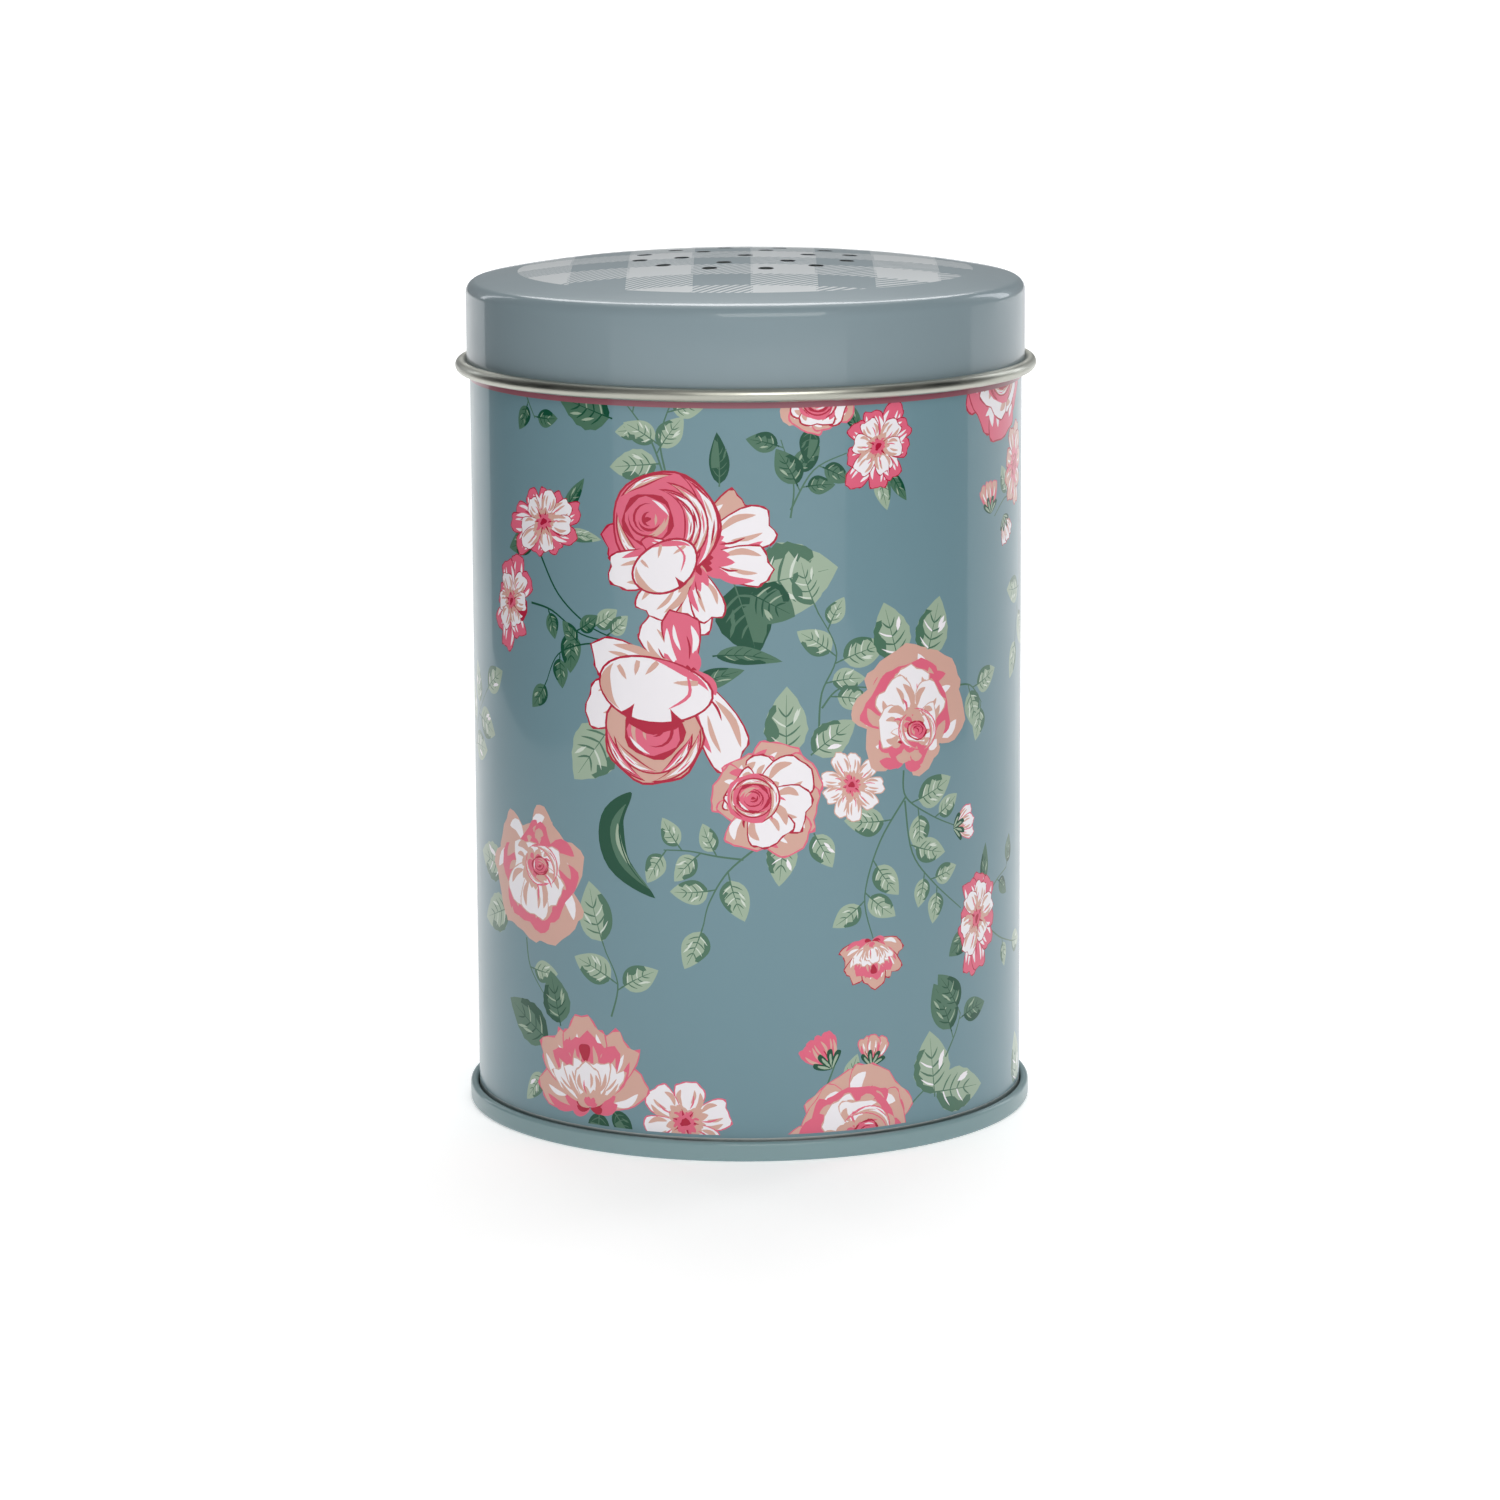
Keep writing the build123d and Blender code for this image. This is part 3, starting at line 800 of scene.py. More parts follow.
def encloses(outline, point):
    """Whether an outline winds round a point."""
    turns = 0
    for a, b in zip(outline, outline[1:] + outline[:1]):
        if (a.y <= point.y) != (b.y <= point.y):
            side = (b.x - a.x) * (point.y - a.y) - (point.x - a.x) * (b.y - a.y)
            if (side > 0) == (b.y > a.y):
                turns += 1 if side > 0 else -1
    return turns != 0


def cut_apart(shapes, frame_outline, lines, join=0.03):
    """Flat faces where each shows only its uppermost ink, split along extra lines.

    shapes is a list of (ink number, outline), lowest first, and the frame has ink 0. Returns
    points, faces and the ink of each face."""
    points = [Vector(p) for p in frame_outline]
    outlines = [list(range(len(points)))]
    inks = [0]
    for ink, outline in shapes:
        if sum(a[0] * b[1] - b[0] * a[1] for a, b in zip(outline, outline[1:] + outline[:1])) < 0:
            outline = outline[::-1]
        first = len(points)
        points += [Vector(p) for p in outline]
        outlines.append(list(range(first, len(points))))
        inks.append(ink)
    flat, _, faces, _, _, sources = delaunay_2d_cdt(points, [], outlines, 1, join, True)
    middles = [(flat[a] + flat[b] + flat[c]) / 3 for a, b, c in faces]

    # An outline that crosses itself can spill past its own box, so its faces are tested one by one
    boxes = []
    for outline in outlines:
        xs, ys = [points[i].x for i in outline], [points[i].y for i in outline]
        boxes.append((min(xs), max(xs), min(ys), max(ys)))
    spilling = {i for middle, source in zip(middles, sources) for i in source
                if not (boxes[i][0] <= middle.x <= boxes[i][1] and boxes[i][2] <= middle.y <= boxes[i][3])}
    rings = {i: [points[j] for j in outlines[i]] for i in spilling}

    def covers(i, point):
        """Whether outline i really covers a point that it claims."""
        low_x, high_x, low_y, high_y = boxes[i]
        if i not in spilling:
            return True
        return low_x <= point.x <= high_x and low_y <= point.y <= high_y and encloses(rings[i], point)

    face_inks = []
    for middle, source in zip(middles, sources):
        claims = sorted(source, reverse=True)
        face_inks.append(inks[next((i for i in claims if covers(i, middle)), 0)])
    finder = BVHTree.FromPolygons([(p.x, p.y, 0.0) for p in flat], faces)

    # Only edges between different inks are kept for the second, lighter cut
    sides = {}
    for face, ink in zip(faces, face_inks):
        for a, b in zip(face, face[1:] + face[:1]):
            sides.setdefault((min(a, b), max(a, b)), []).append(ink)
    borders = [edge for edge, found in sides.items() if len(found) == 2 and found[0] != found[1]]
    points = [Vector(p) for p in frame_outline]
    edges = [(i, (i + 1) % len(points)) for i in range(len(points))]
    for line in lines:
        first = len(points)
        points += [Vector(p) for p in line]
        edges += [(i, i + 1) for i in range(first, len(points) - 1)]
    number = {}
    for edge in borders:
        for i in edge:
            if i not in number:
                number[i] = len(points)
                points.append(flat[i])
        edges.append((number[edge[0]], number[edge[1]]))
    flat, _, faces, _, _, _ = delaunay_2d_cdt(points, edges, [], 1, join, False)
    face_inks_out = []
    for face in faces:
        middle = sum((flat[i] for i in face), Vector((0, 0))) / len(face)
        hit = finder.ray_cast((middle.x, middle.y, 1.0), (0, 0, -1))[2]
        face_inks_out.append(face_inks[hit] if hit is not None else 0)
    return flat, faces, face_inks_out


# ------------------------------------------------------------------ finishes

def linear(hex_colour):
    """An sRGB hex value as linear colour with full alpha."""
    values = [int(hex_colour[i:i + 2], 16) / 255 for i in (0, 2, 4)]
    return [v / 12.92 if v <= 0.04045 else ((v + 0.055) / 1.055) ** 2.4 for v in values] + [1.0]


def add(tree, kind, sockets=None, **settings):
    """Adds a node; sockets gives each input a constant or another node's output."""
    node = tree.nodes.new(kind)
    for name, value in settings.items():
        setattr(node, name, value)
    for key, value in (sockets or {}).items():
        if isinstance(value, bpy.types.NodeSocket):
            tree.links.new(value, node.inputs[key])
        else:
            node.inputs[key].default_value = value
    return node


def new_material(name):
    """An empty node material and its output node."""
    material = bpy.data.materials.new(name)
    material.use_nodes = True
    material.node_tree.nodes.clear()
    return material, add(material.node_tree, "ShaderNodeOutputMaterial")


def enamel(name, colour, shine=0.3, coat=0.4):
    """Stoved enamel on rolled tinplate: an even colour whose soft gloss wavers slightly."""
    material, output = new_material(name)
    tree = material.node_tree
    where = add(tree, "ShaderNodeTexCoord").outputs["Object"]
    wear = add(tree, "ShaderNodeTexNoise", {"Vector": where, "Scale": 1 / (12 * MM), "Detail": 2.0})
    dulling = add(tree, "ShaderNodeMapRange", {
        "Value": wear.outputs["Fac"], "From Min": 0.3, "From Max": 0.7,
        "To Min": shine - 0.02, "To Max": shine + 0.03})
    waves = add(tree, "ShaderNodeTexNoise", {"Vector": where, "Scale": 1 / (2.4 * MM), "Detail": 1.0})
    skin = add(tree, "ShaderNodeBump", {
        "Height": waves.outputs["Fac"], "Strength": 0.12, "Distance": 0.05 * MM})
    shader = add(tree, "ShaderNodeBsdfPrincipled", {
        "Base Color": linear(colour), "Roughness": dulling.outputs["Result"],
        "Normal": skin.outputs["Normal"], "Specular IOR Level": 0.16,
        "Coat Weight": coat, "Coat Roughness": 0.05})
    tree.links.new(shader.outputs["BSDF"], output.inputs["Surface"])
    return material


def bare_tin(name, colour, roughness):
    """Unpainted tinplate: dull silver with fine rolling lines running round the piece."""
    material, output = new_material(name)
    tree = material.node_tree
    where = add(tree, "ShaderNodeTexCoord").outputs["Object"]
    drawn = add(tree, "ShaderNodeMapping", {"Vector": where, "Scale": (0.08, 0.08, 1.0)})
    lines = add(tree, "ShaderNodeTexNoise", {
        "Vector": drawn.outputs["Vector"], "Scale": 1 / (0.5 * MM), "Detail": 3.0})
    dulling = add(tree, "ShaderNodeMapRange", {
        "Value": lines.outputs["Fac"], "From Min": 0.3, "From Max": 0.7,
        "To Min": roughness - 0.07, "To Max": roughness + 0.1})
    grain = add(tree, "ShaderNodeBump", {
        "Height": lines.outputs["Fac"], "Strength": 0.2, "Distance": 0.03 * MM})
    shader = add(tree, "ShaderNodeBsdfPrincipled", {
        "Base Color": linear(colour), "Metallic": 1.0, "Roughness": dulling.outputs["Result"],
        "Normal": grain.outputs["Normal"]})
    tree.links.new(shader.outputs["BSDF"], output.inputs["Surface"])
    return material


def sealing_rubber(name, colour):
    """Lining compound in the seam: dull, nearly black rubber."""
    material, output = new_material(name)
    tree = material.node_tree
    where = add(tree, "ShaderNodeTexCoord").outputs["Object"]
    grain = add(tree, "ShaderNodeTexNoise", {"Vector": where, "Scale": 1 / (0.6 * MM)})
    skin = add(tree, "ShaderNodeBump", {
        "Height": grain.outputs["Fac"], "Strength": 0.3, "Distance": 0.03 * MM})
    shader = add(tree, "ShaderNodeBsdfPrincipled", {
        "Base Color": linear(colour), "Roughness": 0.75, "Normal": skin.outputs["Normal"]})
    tree.links.new(shader.outputs["BSDF"], output.inputs["Surface"])
    return material


# ------------------------------------------------------------------ the can

INKS = ["ground", "neck", "white", "blush", "coral", "crimson", "sage", "mist", "fern", "forest"]
PRINT_BOTTOM, PRINT_TOP, LOCK_TOP = 2.9, 97.6, 107.6
GROOVE_HALF, GROOVE_DEPTH = 0.25, 0.12
GROOVE_ANGLE = pi - asin(1.75 / WALL_RADIUS)


def arc(x, z, radius, start, end, steps):
    """Points on an arc, angles in degrees."""
    return [(x + radius * cos(radians(start + (end - start) * i / steps)),
             z + radius * sin(radians(start + (end - start) * i / steps))) for i in range(steps + 1)]


def can_print(left, right):
    """Every printed shape on the flat sheet between two distances along it, lowest first."""
    shapes = []
    for shift, lift in ((0.0, 0.0), (pi * WALL_RADIUS, 47.0), (pi * WALL_RADIUS, -50.0),
                        (-pi * WALL_RADIUS, 47.0), (-pi * WALL_RADIUS, -50.0)):
        copy = []
        pen = Pen(copy).at(shift, lift)
        leaves_behind(pen)
        small_flowers(pen)
        roses(pen)
        shapes.append(copy)
    shapes = [shape for copy in shapes[1:] + shapes[:1] for shape in copy]
    inked = []
    for ink, outline in shapes:
        outline = clip(outline, left + 0.4, PRINT_BOTTOM + 0.4, right - 0.4, PRINT_TOP)
        if outline:
            inked.append((INKS.index(ink), outline))
    inked.append((INKS.index("neck"), [(left, PRINT_TOP), (right, PRINT_TOP), (right, LOCK_TOP),
        (left, LOCK_TOP)]))
    return inked


def make_can(settings, colours):
    """The can's rolled and printed sheet with its seam groove, rolled rim and hooked foot."""
    wall, columns = WALL_RADIUS, settings.columns
    sheet = settings.thickness / MM
    bare = len(INKS)
    left = wall * (GROOVE_ANGLE - TOTAL_TURN) + GROOVE_HALF
    right = wall * GROOVE_ANGLE - GROOVE_HALF
    stations = [left + (right - left) * i / columns for i in range(columns + 1)]
    outline = [(s, PRINT_BOTTOM) for s in stations] + [(s, LOCK_TOP) for s in reversed(stations)]
    flat, faces, inks = cut_apart(
        can_print(left, right), outline, [[(s, PRINT_BOTTOM), (s, LOCK_TOP)] for s in stations[1:-1]])
    shell = Shell()
    shell.add([(wall * sin(p.x / wall), -wall * cos(p.x / wall), p.y) for p in flat], faces, inks)

    curl, middle, rim = 0.625, wall - 0.75, RIM_TOP - 0.75
    line = [(wall, LOCK_TOP)] + arc(middle, rim, curl + sheet / 2, 0, 290, 22)
    neck_steps = len(line) - 1
    line += arc(middle, rim, curl - sheet / 2, 290, 0, 18)
    turn, hook = 0.975, LAYER - sheet / 2
    line += arc(wall + hook, turn, LAYER + sheet / 2, 180, 360, 12)
    line += [(HOOK_RADIUS, 2.15), (HOOK_RADIUS - sheet, 2.15)]
    line += arc(wall + hook, turn, LAYER - sheet / 2, 360, 180, 8) + [(wall, PRINT_BOTTOM)]
    line_inks = [INKS.index("neck")] * neck_steps + [bare] * (len(line) - 1 - neck_steps)
    shell.lathe(line, line_inks, [s / wall for s in stations])

    # The side seam shows outside as a shallow groove and inside as a folded lock
    a, b, deep = right / wall, left / wall + TOTAL_TURN, wall - GROOVE_DEPTH
    heights = [PRINT_BOTTOM, PRINT_TOP, LOCK_TOP]
    strip = [(r * sin(t), -r * cos(t), z) for t in (a, b) for r in (wall, deep) for z in heights]
    shell.add(strip, [(0, 1, 2, 5, 4, 3), (9, 10, 11, 8, 7, 6), (3, 4, 10, 9), (4, 5, 11, 10),
                      (2, 8, 11, 5), (0, 3, 9, 6)], 0)
    corner = [(x, y) for cx, cy, start in ((1.5, 36.05, 0), (-1.5, 36.05, 90), (-1.5, 35.75, 180),
        (1.5, 35.75, 270))
              for x, y in arc(cx, cy, 0.25, start, start + 90, 4)]
    count = len(corner)
    shell.add([(x, y, z) for z in (4.5, LOCK_TOP) for x, y in corner],
              [tuple(range(count)), tuple(range(count, 2 * count))]
              + [(i, (i + 1) % count, count + (i + 1) % count, count + i) for i in range(count)], bare)

    def rolled(point, normal):
        """The wall's true normal, for a face of the print."""
        if abs(normal.z) < 0.01 and abs(hypot(point.x, point.y) - wall) < 0.02:
            out = Vector((point.x, point.y, 0)).normalized()
            if out.dot(normal) > 0.9 and PRINT_BOTTOM - 0.01 < point.z < LOCK_TOP + 0.01:
                return out
        return None

    materials = [enamel("printed enamel, " + ink, getattr(colours, ink)) for ink in INKS]
    materials.append(bare_tin("bare tin inside", "B9BDBB", 0.36))
    return shell.build("printed_can", materials, rolled)


# ------------------------------------------------------------------ the base

def make_base(settings, colours):
    """The pressed base with its bead, well and outer half of the double seam."""
    sheet = settings.thickness / MM
    outer = SEAM_RADIUS - sheet / 2
    chuck = WALL_RADIUS - 0.3 - sheet / 2
    moves = [(0, 28), (1.2, 40), (1.2, -80), (1.2, 40), (0, chuck - 0.625 - 28 - 4.8 * sin(radians(40))),
             (0.625, -90), (0, 1.975), (0.4, 90), (0, outer - 0.4 - chuck - 0.4), (0.4, 90), (0, 1.55),
             (0.4, 180), (0, 1.075)]
    upper = follow(0, 3 + sheet / 2, 0, moves, sheet / 2)
    lower = follow(0, 3 + sheet / 2, 0, moves, -sheet / 2)
    upper[0], lower[0] = (0.0, upper[0][1]), (0.0, lower[0][1])
    line = upper + lower[::-1]
    shell = Shell()
    angles = [TOTAL_TURN * i / settings.columns for i in range(settings.columns)]
    shell.lathe(line, [1] * len(upper) + [0] * (len(lower) - 1), angles)
    return shell.build("base_shell", [
        enamel("base enamel", colours.base, 0.36), bare_tin("bare tin of the base", "B9BDBB", 0.36)])


# ------------------------------------------------------------------ the lid

CROWN_RADIUS, CROWN_REACH, SHOULDER_RADIUS, KNUCKLE = 275.0, 20.0, 125.0, 1.575
CURL_RADIUS, CURL_TURN = 0.75, 298.0
SKIRT_END = CURL_BOTTOM + CURL_RADIUS + 0.125
SKIRT = CURL_REACH - 0.125 - 2 * CURL_RADIUS
HOLE_RADIUS, HOLE_PHASE = 1.0, radians(11)
HOLE_RINGS = ((0.0, 1), (8.5, 6), (14.1, 12))
DISC = 33.0
TILT = asin(CROWN_REACH / CROWN_RADIUS)
CROWN_Z = TIN_HEIGHT - 0.125 - CROWN_RADIUS
SHOULDER_X = (CROWN_RADIUS - SHOULDER_RADIUS) * sin(TILT)
SHOULDER_Z = CROWN_Z + (CROWN_RADIUS - SHOULDER_RADIUS) * cos(TILT)


def lid_height(r, offset):
    """Height of the lid's top at a distance from the axis; offset is from the sheet's middle."""
    if r <= (CROWN_RADIUS + offset) * sin(TILT):
        return CROWN_Z + sqrt((CROWN_RADIUS + offset) ** 2 - r * r)
    return SHOULDER_Z + sqrt((SHOULDER_RADIUS + offset) ** 2 - (r - SHOULDER_X) ** 2)


def gingham(reach):
    """Checked cloth drawn on the lid: pale bands of slanting threads, and solid squares where they cross."""
    shapes = []
    bands_x = [(-31, -23), (-15, -7), (1, 9), (17, 25)]
    bands_y = [(-34, -26), (-18, -10), (-2, 6), (14, 22)]

    def lay(outline):
        """Keeps the part of an outline inside the round cloth."""
        outline = inside_circle(outline, reach)
        if len(outline) > 2:
            shapes.append((1, outline))

    def thread(low_x, low_y, high_x, high_y):
        """One band, drawn as slanting threads that end in points beside it."""
        step, thick = 1.25, 0.62
        along_x = high_x - low_x > high_y - low_y
        start, end = (low_x, high_x) if along_x else (low_y, high_y)
        depth = high_y - low_y if along_x else high_x - low_x
        for i in range(int((end - start + depth) / step) + 1):
            at = start - depth + i * step
            if along_x:
                corners = [(at, low_y - 0.3), (at + thick, low_y - 0.3),
                           (at + depth + thick, high_y + 0.3), (at + depth, high_y + 0.3)]
            else:
                corners = [(low_x - 0.3, at), (high_x + 0.3, at + depth),
                           (high_x + 0.3, at + depth + thick), (low_x - 0.3, at + thick)]
            lay(corners)

    for low, high in bands_x:
        thread(low, -reach, high, reach)
    for low, high in bands_y:
        thread(-reach, low, reach, high)
    for low_x, high_x in bands_x:
        for low_y, high_y in bands_y:
            lay([(low_x, low_y), (high_x, low_y), (high_x, high_y), (low_x, high_y)])
    return shapes


def inside_circle(outline, reach, sides=72):
    """The part of a convex outline inside a circle, cut against the circle's sides."""
    for i in range(sides):
        a = TOTAL_TURN * (i + 0.5) / sides
        nx, ny = cos(a), sin(a)
        if not outline:
            return outline
        distances = [x * nx + y * ny - reach for x, y in outline]
        if max(distances) <= 0:
            continue
        kept = []
        for j in range(len(outline)):
            k = (j + 1) % len(outline)
            if (distances[j] <= 0) != (distances[k] <= 0):
                t = distances[j] / (distances[j] - distances[k])
                kept.append((outline[j][0] + (outline[k][0] - outline[j][0]) * t,
                             outline[j][1] + (outline[k][1] - outline[j][1]) * t))
            if distances[k] <= 0:
                kept.append(outline[k])
        outline = kept
    return outline


def hole_centres():
    """Centres of the sprinkling holes."""
    return [(r * cos(HOLE_PHASE + TOTAL_TURN * i / count), r * sin(HOLE_PHASE + TOTAL_TURN * i / count))
            for r, count in HOLE_RINGS for i in range(count)]


def circle(x, y, radius, count):
    """A round outline."""
    return [(x + radius * cos(TOTAL_TURN * i / count),
        y + radius * sin(TOTAL_TURN * i / count)) for i in range(count)]


def make_lid(settings, colours):
    """The lid's sheet down to the end of its skirt, with real holes; its curl is a separate piece."""
    columns, sheet = settings.columns, settings.thickness / MM
    half = sheet / 2
    angles = [TOTAL_TURN * i / columns for i in range(columns)]
    tilt = asin((DISC - SHOULDER_X) / SHOULDER_RADIUS)
    start = (DISC, SHOULDER_Z + SHOULDER_RADIUS * cos(tilt))
    knuckle_tilt = asin((SKIRT - KNUCKLE - SHOULDER_X) / (SHOULDER_RADIUS - KNUCKLE))
    knuckle_z = SHOULDER_Z + (SHOULDER_RADIUS - KNUCKLE) * cos(knuckle_tilt)
    moves = [(SHOULDER_RADIUS, -(knuckle_tilt - tilt) * 180 / pi), (KNUCKLE, -90 + knuckle_tilt * 180 / pi),
             (0, knuckle_z - SKIRT_END)]
    heading = -tilt * 180 / pi
    outside, inside = follow(*start, heading, moves, half), follow(*start, heading, moves, -half)
    shell = Shell()
    shell.lathe(outside + inside[::-1], [0] * (len(outside) - 1) + [2] * len(inside), angles)

    hole = 9
    holes = hole_centres()
    print_reach = 30.0
    shapes = gingham(print_reach) + [(hole, circle(x, y, HOLE_RADIUS, 28)) for x, y in holes]
    rings = [circle(0, 0, r, 72) for r in (4, 11.3, 17, 20, 23.5, 27)]
    rings = [ring + ring[:1] for ring in rings]

    def disc_frame(r):
        """The circle where the flat disc meets the turned edge."""
        return [(r * sin(a), -r * cos(a)) for a in angles]

    flat, faces, inks = cut_apart(shapes, disc_frame(outside[0][0]), rings)
    sides = {}
    for face, ink in zip(faces, inks):
        for a, b in zip(face, face[1:] + face[:1]):
            sides.setdefault((min(a, b), max(a, b)), []).append(ink == hole)
    lips = [edge for edge, found in sides.items() if len(found) == 2 and found[0] != found[1]]
    top = [(p.x, p.y, lid_height(p.length, half)) for p in flat]
    kept = [i for i, ink in enumerate(inks) if ink != hole]
    shell.add(top, [faces[i] for i in kept], [inks[i] for i in kept])

    # The underside has the same faces, drawn in slightly where it meets the turned edge
    under = []
    for p in flat:
        draw = inside[0][0] / p.length if p.length > DISC else 1.0
        under.append((p.x * draw, p.y * draw, lid_height(p.length * draw, -half)))
    shell.add(under, [faces[i] for i in kept], 2)
    # The walls of the holes take material 3, tin darkened as painted shade inside the holes
    for a, b in lips:
        shell.add([top[a], top[b], under[b], under[a]], [(0, 1, 2, 3)], 3)

    def domed(point, normal):
        """The dome's true normal, for a face of the upper side."""
        r = hypot(point.x, point.y)
        if normal.z < 0.9 or r > DISC - 0.5 or abs(point.z - lid_height(r, half)) > 0.03:
            return None
        if r < CROWN_REACH:
            return Vector((point.x, point.y, point.z - CROWN_Z)).normalized()
        out = (r - SHOULDER_X) / r
        return Vector((point.x * out, point.y * out, point.z - SHOULDER_Z)).normalized()

    return shell.build("printed_lid", [
        enamel("lid enamel", colours.lid, 0.34), enamel("lid enamel, gingham", colours.check, 0.34),
        bare_tin("bare tin of the lid", "B9BDBB", 0.34),
        # Tin darkened to 5C6060 as painted shade on the walls of the holes
        bare_tin("rough tin of the pierced edges, darkened as painted shade", "5C6060", 0.55)], domed)


# ------------------------------------------------------------------ node groups

def new_group(name, inputs):
    """A geometry node group with named number inputs and one geometry output."""
    group = bpy.data.node_groups.new(name, "GeometryNodeTree")
    group.interface.new_socket(name="Geometry", in_out="OUTPUT", socket_type="NodeSocketGeometry")
    for label, kind in inputs:
        group.interface.new_socket(name=label, in_out="INPUT", socket_type=kind)
    entry = add(group, "NodeGroupInput")
    return group, entry.outputs


def maths(tree, operation, a, b=0.0):
    """A Math node's output."""
    return add(tree, "ShaderNodeMath", {0: a, 1: b}, operation=operation).outputs[0]


def finish_group(group, geometry):
    """Ends a group with real geometry in one material."""
    real = add(group, "GeometryNodeRealizeInstances", {"Geometry": geometry})
    smooth = add(group, "GeometryNodeSetShadeSmooth", {"Geometry": real.outputs[0]})
    inked = add(group, "GeometryNodeSetMaterial", {
        "Geometry": smooth.outputs[0],
        "Material": next(s for s in group.nodes if s.bl_idname == "NodeGroupInput").outputs["Material"]})
    add(group, "NodeGroupOutput", {"Geometry": inked.outputs[0]})


def grow(name, group, values):
    """Runs a node group once and keeps the result as a plain mesh."""
    holder = bpy.data.objects.new(name, bpy.data.meshes.new(name + " start"))
    bpy.context.scene.collection.objects.link(holder)
    modifier = holder.modifiers.new(group.name, "NODES")
    modifier.node_group = group
    for item in group.interface.items_tree:
        if item.in_out == "INPUT" and item.name in values:
            modifier[item.identifier] = values[item.name]
    holder.update_tag()
    bpy.context.view_layer.update()
    evaluated = holder.evaluated_get(bpy.context.evaluated_depsgraph_get())
    mesh = bpy.data.meshes.new_from_object(evaluated)
    holder.modifiers.clear()
    holder.data = mesh
    mesh.name = name
    work = bmesh.new()
    work.from_mesh(mesh)
    bmesh.ops.remove_doubles(work, verts=work.verts, dist=0.002 * MM)
    bmesh.ops.recalc_face_normals(work, faces=work.faces)
    work.to_mesh(mesh)
    work.free()
    return holder


def curl_group():
    """A rolled wire edge: a ribbon bent into a curl, then swept round a circle."""
    group, inputs = new_group("Rolled edge", [
        ("Skirt radius", "NodeSocketFloat"), ("Skirt end", "NodeSocketFloat"),
        ("Curl radius", "NodeSocketFloat"),
        ("Curl turn", "NodeSocketFloat"), ("Sheet", "NodeSocketFloat"), ("Columns", "NodeSocketInt"),
        ("Material", "NodeSocketMaterial")])
    ribbon = add(group, "GeometryNodeMeshGrid", {"Size X": 1.0, "Size Y": 1.0, "Vertices X": 41,
        "Vertices Y": 2})
    touching = add(group, "GeometryNodeInputMeshEdgeNeighbors")
    edge = add(group, "FunctionNodeCompare", {2: touching.outputs[0], 3: 1}, data_type="INT",
        operation="EQUAL")
    outline = add(group, "GeometryNodeMeshToCurve",
        {"Mesh": ribbon.outputs["Mesh"], "Selection": edge.outputs[0]})
    place = add(group, "ShaderNodeSeparateXYZ", {0: add(group, "GeometryNodeInputPosition").outputs[0]})
    along = maths(group, "ADD", place.outputs["X"], 0.5)
    angle = maths(group, "ADD", maths(group, "MULTIPLY", along, inputs["Curl turn"]), pi)
    reach = maths(group, "ADD", inputs["Curl radius"],
        maths(group, "MULTIPLY", place.outputs["Y"], inputs["Sheet"]))
    bent = add(group, "ShaderNodeCombineXYZ", {
        "X": maths(group, "MULTIPLY", reach, maths(group, "COSINE", angle)),
        "Y": maths(group, "MULTIPLY", reach, maths(group, "SINE", angle))})
    section = add(group, "GeometryNodeSetPosition",
        {"Geometry": outline.outputs[0], "Position": bent.outputs[0]})
    centre = maths(group, "ADD", inputs["Skirt radius"], inputs["Curl radius"])
    path = add(group, "GeometryNodeCurvePrimitiveCircle",
        {"Resolution": inputs["Columns"], "Radius": centre})
    upright = add(group, "GeometryNodeSetCurveNormal", {"Curve": path.outputs[0]}, mode="Z_UP")
    swept = add(group, "GeometryNodeCurveToMesh", {"Curve": upright.outputs[0],
        "Profile Curve": section.outputs[0]})
    raised = add(group, "GeometryNodeTransform", {
        "Geometry": swept.outputs[0],
        "Translation": add(group, "ShaderNodeCombineXYZ", {"Z": inputs["Skirt end"]}).outputs[0]})
    finish_group(group, raised.outputs[0])
    return group


